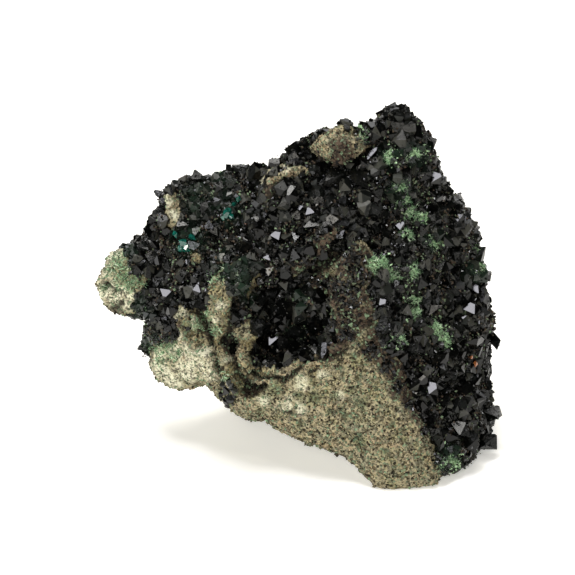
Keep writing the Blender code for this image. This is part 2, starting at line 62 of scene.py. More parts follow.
def makeCamera():
    camera = bpy.data.objects.new("camera", bpy.data.cameras.new("camera"))
    bpy.context.scene.collection.objects.link(camera)
    camera.data.lens = view["lens"]
    camera.data.sensor_width = view["sensor"]
    camera.data.clip_start = 0.01
    camera.location = eye
    camera.rotation_mode = "QUATERNION"
    camera.rotation_quaternion = (-toViewer).to_track_quat("-Z", "Y")
    bpy.context.scene.camera = camera


makeCamera()


def sightLine(across, down):
    # the direction from the eye through a pixel
    step = view["pixel"] * mm
    middle = view["picture"] / 2
    target = aim + Vector((1, 0, 0)) * (across - middle) * step + pictureUp * (middle - down) * step
    return (target - eye).normalized()


def pixelsOf(points):
    # where points in metres are seen, as arrays of across and down
    away = points - np.array(eye)
    scale = eyeDistance / (away @ -np.array(toViewer)) / (view["pixel"] * mm)
    middle = view["picture"] / 2
    return middle + away[:, 0] * scale, middle - (away @ np.array(pictureUp)) * scale


# Colours and nodes
def linear(hexColour):
    channels = [int(hexColour[i:i + 2], 16) / 255 for i in (1, 3, 5)]
    return tuple(c / 12.92 if c <= 0.04045 else ((c + 0.055) / 1.055) ** 2.4 for c in channels) + (1.0,)


def addNode(tree, kind, settings=None, links=None):
    # settings: a socket's name or number, or a property; links: socket -> output
    node = tree.nodes.new(kind)
    for key, value in (settings or {}).items():
        if isinstance(key, int) or key in node.inputs:
            node.inputs[key].default_value = value
        else:
            setattr(node, key, value)
    for key, output in (links or {}).items():
        tree.links.new(output, node.inputs[key])
    return node


def fillRamp(ramp, stops):
    elements = ramp.color_ramp.elements
    while len(elements) < len(stops):
        elements.new(0.5)
    for element, (position, hexColour) in zip(elements, stops):
        element.position = position
        element.color = linear(hexColour)


def newMaterial(name):
    material = bpy.data.materials.new(name)
    material.use_nodes = True
    tree = material.node_tree
    return material, tree, tree.nodes["Principled BSDF"]


def perMm(size):
    # texture scale for a pattern of this size in mm, in coordinates of metres
    return 1.0 / (size * mm)


# Mesh helpers
def addObject(name, mesh):
    made = bpy.data.objects.new(name, mesh)
    bpy.context.scene.collection.objects.link(made)
    return made


def pointsOf(mesh):
    points = np.empty(len(mesh.vertices) * 3)
    mesh.vertices.foreach_get("co", points)
    return points.reshape(-1, 3)


def normalsOf(mesh):
    normals = np.empty(len(mesh.vertices) * 3, np.float32)
    mesh.vertices.foreach_get("normal", normals)
    return normals.reshape(-1, 3).astype(float)


def setPoints(mesh, points):
    mesh.vertices.foreach_set("co", np.ascontiguousarray(points, np.float32).ravel())
    mesh.update()


def paint(mesh, name, values, domain="POINT"):
    layer = mesh.attributes.new(name, "FLOAT", domain)
    layer.data.foreach_set("value", np.ascontiguousarray(values, np.float32))


def readLayer(mesh, name):
    values = np.empty(len(mesh.vertices), np.float32)
    mesh.attributes[name].data.foreach_get("value", values)
    return values


def applyModifiers(target):
    bpy.context.view_layer.update()
    shown = target.evaluated_get(bpy.context.evaluated_depsgraph_get())
    made = bpy.data.meshes.new_from_object(shown)
    target.modifiers.clear()
    target.data = made


def treeOf(mesh):
    shape = bmesh.new()
    shape.from_mesh(mesh)
    tree = BVHTree.FromBMesh(shape)
    shape.free()
    return tree


def smoothStep(low, high, values):
    share = np.clip((values - low) / (high - low), 0.0, 1.0)
    return share * share * (3.0 - 2.0 * share)


def waves(points, size, shift=0.0):
    # smooth noise at every point, about -1 to 1, for a wave size in mm
    scale = perMm(size)
    away = Vector((shift, shift * 0.7, -shift))
    return np.array([noise.noise(Vector(p) * scale + away) for p in points])


def cloudWeight(clouds, across, down, wander):
    # 1 inside any of the (across, down, radius) clouds, fading out at a ragged edge
    weight = np.zeros(len(across))
    for cloudAcross, cloudDown, radius in clouds:
        far = np.hypot(across - cloudAcross, down - cloudDown) / radius
        weight = np.maximum(weight, 1.0 - smoothStep(0.2, 1.7, far + 0.7 * wander))
    return weight


def distanceToLine(places, across, down):
    nearest = np.full(len(across), 1e9)
    for (x0, y0), (x1, y1) in zip(places, places[1:]):
        alongX, alongY = x1 - x0, y1 - y0
        share = ((across - x0) * alongX + (down - y0) * alongY) / (alongX ** 2 + alongY ** 2)
        share = np.clip(share, 0.0, 1.0)
        nearest = np.minimum(nearest, np.hypot(across - x0 - share * alongX, down - y0 - share * alongY))
    return nearest


def insideOutline(outline, across, down):
    # distance in pixels to the outline, positive inside
    within = np.zeros(len(across), bool)
    closed = outline + outline[:1]
    for (x0, y0), (x1, y1) in zip(closed, closed[1:]):
        if y0 != y1:
            crosses = (y0 > down) != (y1 > down)
            within ^= crosses & (across < x0 + (down - y0) * (x1 - x0) / (y1 - y0))
    return np.where(within, 1.0, -1.0) * distanceToLine(closed, across, down)


# The host rock: schist, broken by hand
rock = {
    "voxel": 0.405,  # mm
    "rounding": 3,
    "swells": ((4.5, 0.26), (1.9, 0.24), (0.95, 0.20), (0.5, 0.12)),  # (width, height) in mm
    "crustHeave": ((6.0, 0.75), (2.7, 0.55)),  # the same, under the crystals
    "wander": ((2.2, 0.8, 5.0), (0.9, 0.6, 3.0)),  # (width in mm, share, shift) of what makes every edge ragged
    "seen": (-0.1, 0.2),  # a surface counts as hidden below the first cosine to the viewer, as seen above the second
    "crustEnds": (0.9, 1.9),  # mm from the druse where its crystals thin out and end on the hidden sides
    "frontEnds": (3.5, 5.0),  # the same on the viewer's side
    # raised and sunk lines: (places, half width in pixels, height in mm)
    "lines": {
        "pocketFinger": ([(250, 321), (247, 336), (243, 352), (243, 367)], 3.8, 1.9),
        "besidePocketFinger": ([(256, 325), (254, 345), (256, 362)], 3.2, -1.4),
        "lobedFinger": ([(221, 351), (225, 362), (230, 374), (237, 386)], 4.0, 1.7),
        "betweenFingers": ([(233, 342), (235, 358), (238, 374), (246, 380)], 2.8, -2.0),
        "horn": ([(179, 305), (184, 320), (190, 336), (203, 350), (213, 359)], 3.6, 1.8),
        "underHorn": ([(178, 313), (181, 326), (186, 342)], 3.0, -0.5),
        "secondLedge": ([(213, 290), (216, 308), (220, 326), (216, 342)], 4.5, 0.9),
        "betweenLedges": ([(199, 313), (205, 328), (211, 343)], 3.0, -1.6),
        "thirdLedge": ([(230, 282), (226, 298), (225, 314)], 3.5, 0.7),
        "besideThird": ([(237, 296), (235, 312), (229, 332), (223, 344)], 3.4, -1.5),
        "upperLedge": ([(252, 272), (247, 286), (243, 299)], 3.5, 0.7),
        "besideLobed": ([(213, 355), (218, 368), (224, 381)], 2.5, -1.5),
        "innerLedge": ([(195, 315), (199, 330), (206, 342)], 2.5, 0.6),
        "holeSlot": ([(245, 388), (253, 386), (262, 388)], 3.2, -2.6),
        "aboveHole": ([(240, 380), (250, 379), (262, 381)], 2.5, 0.6),
        "aboveLedges": ([(214, 283), (224, 272), (236, 265)], 4.0, 0.6),
        "lipCrack": (
            [(248, 371), (262, 377), (272, 376), (285, 381), (292, 376), (300, 368), (304, 361), (312, 357)], 2.1, -2.0,
        ),
        "lipSlab": ([(262, 370), (280, 371), (294, 362), (305, 353), (320, 348), (338, 349)], 4.5, 0.8),
        "underSlab": ([(312, 359), (326, 357), (340, 354), (348, 349)], 2.2, -0.7),
        "holeRim": ([(239, 392), (246, 398), (255, 398), (264, 392)], 3.0, 1.0),
        "faceCrack": ([(361, 433), (367, 432), (374, 428)], 1.5, -0.45),
        "smallCrack": ([(353, 441), (360, 437)], 1.5, -0.35),
        "channel": ([(347, 243), (335, 251), (323, 262), (310, 274), (302, 283)], 6.0, -1.7),
        "channelRim": ([(295, 268), (307, 257), (321, 245), (335, 231)], 4.5, 1.7),
        "ridgeCrest": ([(356, 250), (350, 270), (347, 292), (352, 312), (357, 332)], 8.0, 0.7),
        "besideRidge": ([(326, 300), (325, 318), (327, 334)], 5.0, -0.6),
        "underKnob": ([(320, 163), (336, 166), (350, 164), (362, 157), (370, 152)], 4.0, -2.2),
        "knobSplit": ([(340, 137), (350, 138), (358, 134)], 1.8, -0.6),
        "knobCrest": ([(321, 152), (332, 144), (348, 146), (364, 143)], 6.5, 1.2),
        "slabRim": ([(263, 194), (267, 182), (277, 174), (290, 170), (309, 172)], 4.0, 0.4),
        "underSlabRim": ([(271, 198), (278, 185), (290, 179), (305, 180)], 4.0, -1.2),
        "tipSplit": ([(103, 284), (115, 289), (122, 292), (128, 300)], 1.8, -0.5),
    },
    # rounded lumps and pits: (across, down, radius in pixels, height in mm)
    "lumps": {
        "tipPit": (115, 292, 3.0, -0.6), "tipNotch": (93, 268, 9.0, -1.6), "tipCleft": (106, 286, 4.0, -0.9),
        "tipKnob": (100, 279, 4.5, 0.6), "tipEnd": (91, 293, 5.0, 0.5), "tipFold": (121, 303, 4.0, -0.6),
        "facePit": (341, 410, 1.5, -0.4),
        "darkHollow": (336, 240, 8.0, -1.6), "leftHollow": (258, 238, 9.0, -1.6), "slabHollow": (308, 190, 8.0, -1.4),
        "upperHollow": (357, 212, 7.0, -1.0), "slopeHollow": (215, 245, 9.0, -1.4), "lowHollow": (206, 264, 7.0, -1.0),
        "pocketHollow": (264, 342, 8.0, -1.2), "pocketTop": (300, 292, 8.0, -1.0), "slabUnder": (254, 205, 6.0, -1.0),
        "leftShoulder": (187, 178, 12.0, 1.2), "topShoulder": (232, 165, 14.0, 0.8),
        "lipLump": (228, 396, 5.0, 0.7), "roundLump": (245, 362, 6.0, 0.5), "fingerEnd": (226, 372, 5.0, 0.6),
        "lobeFold": (192, 355, 8.0, 0.5), "tipLump": (121, 262, 9.0, 0.6), "tipLow": (110, 298, 7.0, 0.4),
        "darkPatch": (231, 345, 6.0, -0.6), "paleLump": (196, 258, 5.0, 0.7), "ridgeLump": (320, 283, 8.0, 0.7),
        "knobBody": (340, 148, 15.0, 1.5), "shoulder": (308, 148, 14.0, 1.9), "knobTop": (347, 127, 9.0, 1.2),
        "knobShoulder": (366, 137, 9.0, 0.9),
        "lowerEdge": (142, 347, 9.0, -1.4), "tipUnder": (112, 314, 9.0, -0.9), "peakTop": (402, 110, 12.0, 0.9),
        "flankHigh": (468, 225, 22.0, 0.7), "flankMiddle": (486, 325, 30.0, 1.7), "flankLow": (486, 400, 24.0, 0.9),
    },
    "layers": ((0.92, -0.25), 7.5, 0.28),  # (way they stack, thickness in pixels, relief in mm) on the ledges
    "ledgePits": ((2.0, 0.60), (0.9, 0.32)),  # (width, depth) in mm of their pitted surface
    "hiddenLayers": ((0.55, 0.2, 0.81), 2.3, 0.45),  # (way they stack, thickness in mm, relief in mm) at the back
    "hiddenBend": (5.0, 0.6, 77.0),  # (width in mm, share of a layer, shift) by which those layers bend
    "rugRise": 0.9,  # mm, green coatings stand as high as the crystals beside them
    "foot": 0.3,  # mm, nothing below this height is reshaped, so that the specimen stands level
    "hollow": (0.1, 0.75),  # painted shade: hollows are darkened in colour from the first depth on, and fully at the second
}

# Where the rock is bare of crystals
bare = {
    "leftTip": [
        (85, 285), (97, 262), (108, 244), (119, 240), (124, 246), (128, 257), (131, 268), (139, 270), (148, 270),
        (149, 277), (143, 288), (137, 294), (134, 304), (137, 316), (120, 325), (85, 310),
    ],
    "brokenFace": [
        (135, 345), (150, 343), (157, 345), (165, 340), (177, 337), (183, 331), (184, 323), (181, 317),
        (176, 308), (180, 303), (187, 306), (200, 309), (208, 303), (211, 294), (209, 286), (215, 277),
        (224, 268), (236, 262), (240, 266), (232, 276), (230, 288), (238, 290), (247, 280), (251, 271),
        (258, 266), (263, 271), (258, 284), (252, 292), (249, 302), (238, 306), (230, 310), (230, 318),
        (238, 325), (246, 320), (251, 328), (250, 345), (249, 356), (254, 364), (262, 369), (275, 370),
        (290, 366), (300, 359), (310, 353), (322, 347), (335, 343), (332, 335), (330, 322), (328, 310),
        (330, 300), (322, 294), (310, 288), (306, 282), (312, 275), (302, 272), (296, 267), (300, 261),
        (312, 252), (322, 245), (330, 241), (340, 243), (350, 241), (362, 240), (372, 248), (375, 262),
        (374, 278), (368, 290), (372, 300), (377, 312), (379, 326), (380, 342), (388, 352), (399, 352),
        (404, 364), (408, 382), (414, 396), (420, 412), (428, 428), (436, 443), (438, 450), (436, 462),
        (446, 478), (450, 510), (300, 510), (130, 420),
    ],
    "knob": [
        (314, 158), (318, 149), (326, 142), (332, 136), (332, 127), (338, 119), (350, 115), (358, 119),
        (358, 130), (364, 138), (370, 146), (366, 154), (352, 160), (335, 164), (318, 162),
    ],
    "slab": [
        (256, 203), (258, 189), (260, 176), (266, 168), (276, 163), (288, 165), (299, 167), (312, 169),
        (313, 175), (300, 176), (288, 178), (284, 184), (281, 192), (274, 201), (264, 205),
    ],
    "paleStrip": [
        (157, 202), (158, 184), (164, 177), (174, 182), (177, 196), (181, 206), (180, 224), (175, 232),
        (167, 228), (165, 212),
    ],
    "channelRim": [
        (288, 271), (295, 260), (309, 250), (322, 238), (332, 228), (340, 228), (341, 236), (330, 247),
        (316, 260), (303, 273), (294, 279),
    ],
    "paleLump": [(190, 262), (191, 253), (197, 250), (202, 255), (201, 263), (195, 266)],
}

# What colours the rock, as clouds of (across, down, radius)
zones = {
    "stain": [
        (343, 150, 6), (304, 255, 7), (318, 244, 7), (270, 192, 5),
        (350, 258, 13), (358, 275, 12), (350, 295, 12), (345, 318, 13), (363, 318, 10), (340, 336, 9), (330, 285, 10),
        (315, 285, 9), (322, 265, 9), (308, 264, 8), (385, 358, 9), (395, 372, 10), (402, 388, 9), (410, 401, 7),
        (417, 415, 6), (425, 430, 4), (380, 345, 8), (368, 350, 6), (320, 346, 7), (335, 348, 6), (328, 355, 5),
        (345, 160, 8), (330, 161, 7), (300, 262, 8), (312, 252, 8), (324, 242, 8), (334, 233, 7), (251, 388, 7),
        (230, 345, 8), (268, 190, 5),
        (372, 335, 7), (336, 300, 8), (372, 300, 5), (342, 246, 8), (352, 335, 7), (365, 262, 7), (365, 295, 7),
        (388, 345, 6), (404, 390, 6), (374, 345, 7),
    ],
    "pale": [
        (110, 258, 8), (103, 272, 8), (175, 352, 10), (160, 355, 8), (190, 344, 7), (115, 298, 13), (105, 293, 8),
        (128, 301, 9), (116, 256, 8), (94, 284, 9), (122, 291, 6), (165, 373, 13), (186, 369, 13), (202, 364, 11),
        (176, 381, 8), (156, 367, 8), (191, 350, 8), (206, 373, 8), (186, 334, 5), (165, 190, 6), (173, 214, 5),
        (168, 202, 5), (266, 166, 8), (286, 168, 5), (262, 181, 4), (346, 125, 4), (183, 312, 5),
        (222, 304, 6), (217, 317, 5), (228, 360, 4), (285, 405, 8), (302, 384, 7), (264, 402, 6), (322, 374, 5),
        (300, 408, 6), (340, 395, 4), (208, 352, 6), (197, 322, 5),
    ],
    "olive": [
        (250, 276, 8), (246, 290, 6), (222, 300, 9), (214, 290, 6), (190, 314, 9), (195, 335, 10), (215, 345, 9),
        (232, 366, 9), (245, 368, 7), (262, 372, 6), (285, 410, 8), (315, 372, 7), (208, 325, 9), (226, 315, 7),
        (196, 258, 5), (240, 380, 8), (228, 330, 7), (246, 340, 6), (160, 190, 5), (238, 300, 6), (252, 378, 6),
    ],
    "mossy": [
        (120, 262, 8), (128, 272, 8), (139, 276, 9), (122, 283, 7), (131, 286, 6), (110, 271, 5), (104, 288, 3),
        (143, 315, 8), (144, 328, 7), (150, 343, 7), (161, 346, 7), (171, 342, 5), (172, 357, 4), (160, 361, 4),
        (180, 352, 3), (222, 272, 7), (212, 278, 5), (240, 285, 8), (233, 276, 5), (246, 268, 5), (200, 325, 5),
        (208, 316, 5), (216, 331, 4), (225, 376, 4), (221, 394, 6), (229, 403, 5), (240, 384, 4), (362, 405, 8),
        (315, 400, 7), (360, 441, 7), (276, 391, 9), (350, 391, 5), (354, 357, 5), (345, 416, 4), (385, 451, 5),
        (330, 411, 4), (260, 411, 4), (443, 459, 11), (453, 465, 8), (300, 425, 4), (405, 440, 4), (250, 360, 3),
        (187, 325, 4), (236, 300, 4), (165, 200, 3), (300, 395, 5), (335, 395, 4), (375, 388, 4), (392, 425, 4),
    ],
    # green coatings between the crystals of the right side
    "greenRug": [
        (389, 158, 7), (414, 156, 8), (399, 188, 7), (403, 199, 7), (410, 209, 9), (416, 217, 8), (405, 236, 6),
        (434, 242, 7), (378, 265, 8), (387, 273, 9), (395, 281, 7), (410, 270, 8), (474, 250, 6), (478, 268, 5),
        (411, 299, 7), (412, 314, 7), (432, 328, 7), (442, 340, 8), (396, 341, 9), (364, 136, 4), (448, 462, 9),
    ],
}

# The same finishes on the hidden sides, in patches of their own
hiddenPatches = {
    "sizes": {"stain": (9.0, 11.0), "pale": (8.0, 23.0), "olive": (7.0, 31.0), "mossy": (4.5, 41.0)},  # (mm, shift)
    "edge": (0.1, 0.7),
    "strength": 0.6,
}


def frontCrust(across, down, wander):
    # 1 where crystals cover the viewer's side, 0 in the bare places
    depth = np.full(len(across), -1e9)
    for outline in bare.values():
        depth = np.maximum(depth, insideOutline(outline, across, down))
    return 1.0 - smoothStep(-1.5, 2.0, depth + 2.2 * wander)


def makeRock():
    made = addObject("schist_matrix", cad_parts["matrix"].data.copy())
    remesh = made.modifiers.new("remesh", "REMESH")
    remesh.mode = "VOXEL"
    remesh.voxel_size = rock["voxel"] * mm
    rounding = made.modifiers.new("rounding", "SMOOTH")
    rounding.iterations = rock["rounding"]
    applyModifiers(made)
    mesh = made.data
    points = pointsOf(mesh)
    normals = normalsOf(mesh)
    across, down = pixelsOf(points)
    facing = smoothStep(*rock["seen"], normals @ np.array(toViewer))
    wander = sum(share * waves(points, wide, shift) for wide, share, shift in rock["wander"])

    druse = treeOf(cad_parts["libethenite_druse"].data)
    gap = np.array([druse.find_nearest(Vector(p))[3] for p in points]) / mm
    near = 1.0 - smoothStep(*rock["crustEnds"], gap + 0.5 * wander)
    front = frontCrust(across, down, wander) * (1.0 - smoothStep(*rock["frontEnds"], gap))
    crust = near * (1.0 - facing) + front * facing

    height = sum(tall * waves(points, wide, wide) for wide, tall in rock["swells"])
    grainy = height.copy()
    height += crust * sum(tall * waves(points, wide, wide * 3) for wide, tall in rock["crustHeave"])
    (alongAcross, alongDown), thickness, relief = rock["layers"]
    ledges = cloudWeight(zones["olive"], across, down, wander) * facing
    phase = (across * alongAcross + down * alongDown) / thickness + 0.8 * wander
    height += ledges * relief * (4.0 * np.abs(phase - np.floor(phase) - 0.5) - 1.0)
    stack, thickness, relief = rock["hiddenLayers"]
    bendWidth, bend, shift = rock["hiddenBend"]
    phase = points @ np.array(stack) / (thickness * mm) + bend * waves(points, bendWidth, shift)
    height += (1.0 - facing) * relief * smoothStep(0.0, 1.0, phase - np.floor(phase))
    height += rock["rugRise"] * cloudWeight(zones["greenRug"], across, down, wander) * facing
    carved = np.zeros(len(points))
    for wide, tall in rock["ledgePits"]:
        carved -= ledges * tall * (0.8 - 2.6 * np.abs(waves(points, wide, wide * 5)))
    for places, halfWidth, rise in rock["lines"].values():
        far = distanceToLine(places, across, down) / halfWidth + 0.3 * wander
        carved += rise * facing * np.exp(-far ** 2)
    for lumpAcross, lumpDown, radius, rise in rock["lumps"].values():
        far = np.hypot(across - lumpAcross, down - lumpDown) / radius + 0.2 * wander
        carved += rise * facing * np.exp(-far ** 2)
    height += carved
    moved = points + normals * height[:, None] * mm
    grounded = points[:, 2] < rock["foot"] * mm
    moved[grounded] = points[grounded]
    moved[:, 2] = np.maximum(moved[:, 2], 0.0)
    setPoints(mesh, moved)

    paint(mesh, "crust", crust)
    for name, (size, shift) in hiddenPatches["sizes"].items():
        seen = cloudWeight(zones[name], across, down, wander)
        blotches = waves(points, size, shift) + 0.5 * waves(points, size / 3, shift)
        hidden = smoothStep(*hiddenPatches["edge"], blotches) * hiddenPatches["strength"]
        paint(mesh, name, seen * facing + hidden * (1.0 - facing))
    rug = cloudWeight(zones["greenRug"], across, down, wander) * facing
    paint(mesh, "rug", rug)
    # painted shade: the deeper a groove, crack or pit on the viewer's side, the darker its colour, as if in shadow
    paint(mesh, "hollow", smoothStep(*rock["hollow"], -1.3 * carved - 0.8 * grainy) * facing)
    mesh.polygons.foreach_set("use_smooth", [True] * len(mesh.polygons))
    return made


schistSkin = makeRock()
schistTree = treeOf(schistSkin.data)
print("rock made:", len(schistSkin.data.polygons), "faces")


# Schist, split with a hammer: a dull, granular surface whose tan, grey and dark grains give it a salt-and-pepper look
def makeSchist(name, loose):
    # loose: for the grains that stand proud, each with a tone of its own. Real grains are 0.1 to 0.3 mm, too fine
    # beside a pixel of 0.16 mm, so the pattern has grains of 0.32 and 0.55 mm.
    material, tree, shader = newMaterial(name)
    place = addNode(tree, "ShaderNodeTexCoord").outputs["Object"]
    coarse = addNode(tree, "ShaderNodeTexVoronoi", {"Scale": perMm(0.55), "Randomness": 1.0}, {"Vector": place})
    grain = addNode(tree, "ShaderNodeTexVoronoi", {"Scale": perMm(0.32), "Randomness": 1.0}, {"Vector": place})
    coarseTone = addNode(tree, "ShaderNodeSeparateColor", {}, {"Color": coarse.outputs["Color"]}).outputs["Red"]
    grainTone = addNode(tree, "ShaderNodeSeparateColor", {}, {"Color": grain.outputs["Color"]}).outputs["Green"]
    fineLook = {"Scale": perMm(0.9), "Detail": 6.0, "Roughness": 0.75}
    fine = addNode(tree, "ShaderNodeTexNoise", fineLook, {"Vector": place}).outputs["Fac"]
    broadLook = {"Scale": perMm(2.4), "Detail": 5.0, "Roughness": 0.65}  # patches of one mineral or another
    broad = addNode(tree, "ShaderNodeTexNoise", broadLook, {"Vector": place})
    patches = addNode(tree, "ShaderNodeSeparateColor", {}, {"Color": broad.outputs["Color"]}).outputs

    def mixed(a, b, share):
        return addNode(tree, "ShaderNodeMix", {"data_type": "FLOAT", 0: share}, {2: a, 3: b}).outputs[0]

    speck = mixed(mixed(coarseTone, grainTone, 0.75), fine, 0.1)
    if loose:
        chipTone = addNode(tree, "ShaderNodeAttribute", {"attribute_name": "tone"}).outputs["Fac"]
        speck = mixed(chipTone, grainTone, 0.15)
    shade = addNode(tree, "ShaderNodeValToRGB", {}, {"Fac": speck})
    # dark mica, grey quartz and pale feldspar
    fillRamp(shade, ((0.16, "#24211b"), (0.34, "#66635b"), (0.48, "#aeaba3"), (0.6, "#e8e5dd"), (0.74, "#ffffff")))

    def over(below, hexColour, weight):
        mix = addNode(tree, "ShaderNodeMix", {"data_type": "RGBA"}, {0: weight})
        if isinstance(below, tuple):
            mix.inputs[6].default_value = below
        else:
            tree.links.new(below, mix.inputs[6])
        mix.inputs[7].default_value = linear(hexColour)
        return mix.outputs[2]

    def painted(name, strength, low=0.75, high=1.15):
        layer = addNode(tree, "ShaderNodeAttribute", {"attribute_name": name}).outputs["Fac"]
        ragged = addNode(tree, "ShaderNodeMath", {"operation": "MULTIPLY_ADD", 1: 1.0}, {0: speck, 2: layer})
        spread = {"From Min": low, "From Max": high, "To Max": strength}
        return addNode(tree, "ShaderNodeMapRange", spread, {"Value": ragged.outputs[0]}).outputs[0]

    colour = linear("#fbf0c6")
    for channel, hexColour in ((0, "#ffdfb4"), (1, "#e0e0a6"), (2, "#d3d6b8")):
        patch = {"From Min": 0.5, "From Max": 0.64, "To Max": 0.8}
        share = addNode(tree, "ShaderNodeMapRange", patch, {"Value": patches[channel]}).outputs[0]
        colour = over(colour, hexColour, share)
    colour = over(colour, "#d0c489", painted("olive", 0.8, 0.5, 1.4))
    colour = over(colour, "#fffee0", painted("pale", 0.95, 0.5, 1.3))
    colour = over(colour, "#86a272", painted("mossy", 0.85, 0.7, 1.7))
    colour = over(colour, "#58473b", painted("stain", 0.97, 0.3, 0.9))
    # painted shade in the grooves and pits
    colour = over(colour, "#2e281f", painted("hollow", 0.95, 0.45, 1.2))
    colour = over(colour, "#0c0a08", painted("crust", 0.98, 0.6, 1.0))
    colour = over(colour, "#aecfa2", painted("rug", 0.9))
    lifted = over(shade.outputs["Color"], "#ffffff", painted("pale", 0.6, 0.3, 1.1))
    shaded = {"data_type": "RGBA", "blend_type": "MULTIPLY", 0: 1.0}
    tint = addNode(tree, "ShaderNodeMix", shaded, {6: colour, 7: lifted})
    tree.links.new(tint.outputs[2], shader.inputs["Base Color"])
    shader.inputs["Roughness"].default_value = 0.86
    shader.inputs["IOR"].default_value = 1.5
    shader.inputs["Specular IOR Level"].default_value = 0.3
    relief = mixed(coarse.outputs["Distance"], fine, 0.7)
    bump = addNode(tree, "ShaderNodeBump", {"Strength": 1.0, "Distance": 0.3 * mm}, {"Height": relief})
    tree.links.new(bump.outputs["Normal"], shader.inputs["Normal"])
    return material


schistSkin.data.materials.clear()
schistSkin.data.materials.append(makeSchist("split_schist", False))


def sampleSites(mesh, wanted, tries, draws):
    # random points of a mesh, by area and by how much each vertex wants them, and a way to read a layer there
    mesh.calc_loop_triangles()
    count = len(mesh.loop_triangles)
    corners = np.empty(count * 3, np.int32)
    mesh.loop_triangles.foreach_get("vertices", corners)
    corners = corners.reshape(-1, 3)
    areas = np.empty(count, np.float32)
    mesh.loop_triangles.foreach_get("area", areas)
    weight = areas * wanted[corners].mean(axis=1)
    picked = corners[draws.choice(count, tries, p=weight / weight.sum())]
    share = np.sort(draws.random((tries, 2)), axis=1)
    parts = np.stack([share[:, 0], share[:, 1] - share[:, 0], 1 - share[:, 1]], axis=1)

    def read(values):
        return (values[picked] * parts.reshape(parts.shape + (1,) * (values.ndim - 1))).sum(axis=1)

    return read(pointsOf(mesh)), read(normalsOf(mesh)), read


# The rock's grains that stand proud of it: quartz, feldspar and mica chips
grains = {
    "count": 24500,
    "size": (0.28, 0.72),  # mm
    "onLedges": 1.3,  # times as large there
    "onStain": 1.7,
    "dark": 0.42,  # share of dark chips
    "stretch": (0.45, 1.25),  # how flat and how long a chip may be
    "lift": (0.0, 0.05),  # mm that a chip's middle stands above the rock
    "hiddenShare": 0.45,  # the sides away from the viewer get fewer
    "seen": (-0.1, 0.4),  # as for the rock
}
# brown and green dirt between the crystals
dirt = {
    "count": 9000,
    "size": (0.22, 0.6),
    "onLedges": 1.0,
    "onStain": 1.0,
    "dark": 0.5,
    "stretch": (0.45, 1.25),
    "lift": (0.2, 1.0),
    "patch": 2.6,  # mm across one patch of it
    "hiddenShare": 0.5,
}


def growChips(name, settings, wanted, layers, draws):
    # small angular chips, each with the finish of the place where it sits
    places, normals, read = sampleSites(schistSkin.data, wanted, settings["count"], draws)
    values = {layer: read(paintedOn) for layer, paintedOn in layers.items()}
    count = settings["count"]
    least, greatest = settings["size"]
    size = least + (greatest - least) * draws.random(count) ** 1.5
    size *= 1.0 + (settings["onLedges"] - 1.0) * values["olive"] + (settings["onStain"] - 1.0) * values["stain"]
    chip = np.array([(1, 0, 0), (-1, 0, 0), (0, 1, 0), (0, -1, 0), (0, 0, 1), (0, 0, -1)]) * 0.5
    sides = np.array([(0, 2, 4), (2, 1, 4), (1, 3, 4), (3, 0, 4), (2, 0, 5), (1, 2, 5), (3, 1, 5), (0, 3, 5)])
    stray = 0.12  # how far a corner strays, as a share of the chip
    shapes = chip * draws.uniform(*settings["stretch"], (count, 1, 3)) + draws.uniform(-stray, stray, (count, 6, 3))
    turns, _ = np.linalg.qr(draws.normal(size=(count, 3, 3)))
    turns[:, :, 0] *= np.linalg.det(turns)[:, None]
    middles = places + normals * draws.uniform(*settings["lift"], count)[:, None] * mm
    points = np.einsum("nij,npj->npi", turns, shapes * size[:, None, None] * mm) + middles[:, None, :]
    kept = points[:, :, 2].min(axis=1) > 0.0
    points = points[kept]
    faces = (np.arange(len(points)) * len(chip))[:, None, None] + sides[None]
    mesh = bpy.data.meshes.new(name)
    mesh.from_pydata(points.reshape(-1, 3), [], faces.reshape(-1, 3).tolist())
    for layer, value in values.items():
        paint(mesh, layer, np.repeat(value[kept], len(sides)), "FACE")
    tones = draws.random(kept.sum())  # either dark or pale, with few between
    tones = np.where(tones < settings["dark"], tones * 0.8, 1.0 - (1.0 - tones) * 0.7)
    paint(mesh, "tone", np.repeat(tones, len(sides)), "FACE")
    return addObject(name, mesh)


def growGrains():
    draws = np.random.default_rng(12)
    mesh = schistSkin.data
    # the chips take the rock's finishes, and its painted shade in grooves too
    names = ("crust", "stain", "pale", "olive", "mossy", "rug", "hollow")
    layers = {name: readLayer(mesh, name) for name in names}
    facing = smoothStep(*grains["seen"], normalsOf(mesh) @ np.array(toViewer))
    hidden = 1.0 - facing
    bareness = np.maximum(1.0 - layers["crust"], 0.8 * layers["rug"])
    grown = growChips("schist_grains", grains, bareness * (facing + grains["hiddenShare"] * hidden), layers, draws)
    patches = smoothStep(-0.05, 0.35, waves(pointsOf(mesh), dirt["patch"], 51.0))
    between = layers["crust"] * (1.0 - layers["rug"]) * patches * (facing + dirt["hiddenShare"] * hidden)
    layers["stain"] = np.full(len(between), 0.75)
    layers["mossy"] = smoothStep(-0.1, 0.3, waves(pointsOf(mesh), dirt["patch"] * 2, 61.0))
    layers["crust"] = np.zeros(len(between))
    return grown, growChips("crust_dirt", dirt, between, layers, draws)


schistGrains, crustDirt = growGrains()
chipFinish = makeSchist("schist_chips", True)
schistGrains.data.materials.append(chipFinish)
crustDirt.data.materials.append(chipFinish)
print("grains grown:", len(schistGrains.data.polygons), len(crustDirt.data.polygons))


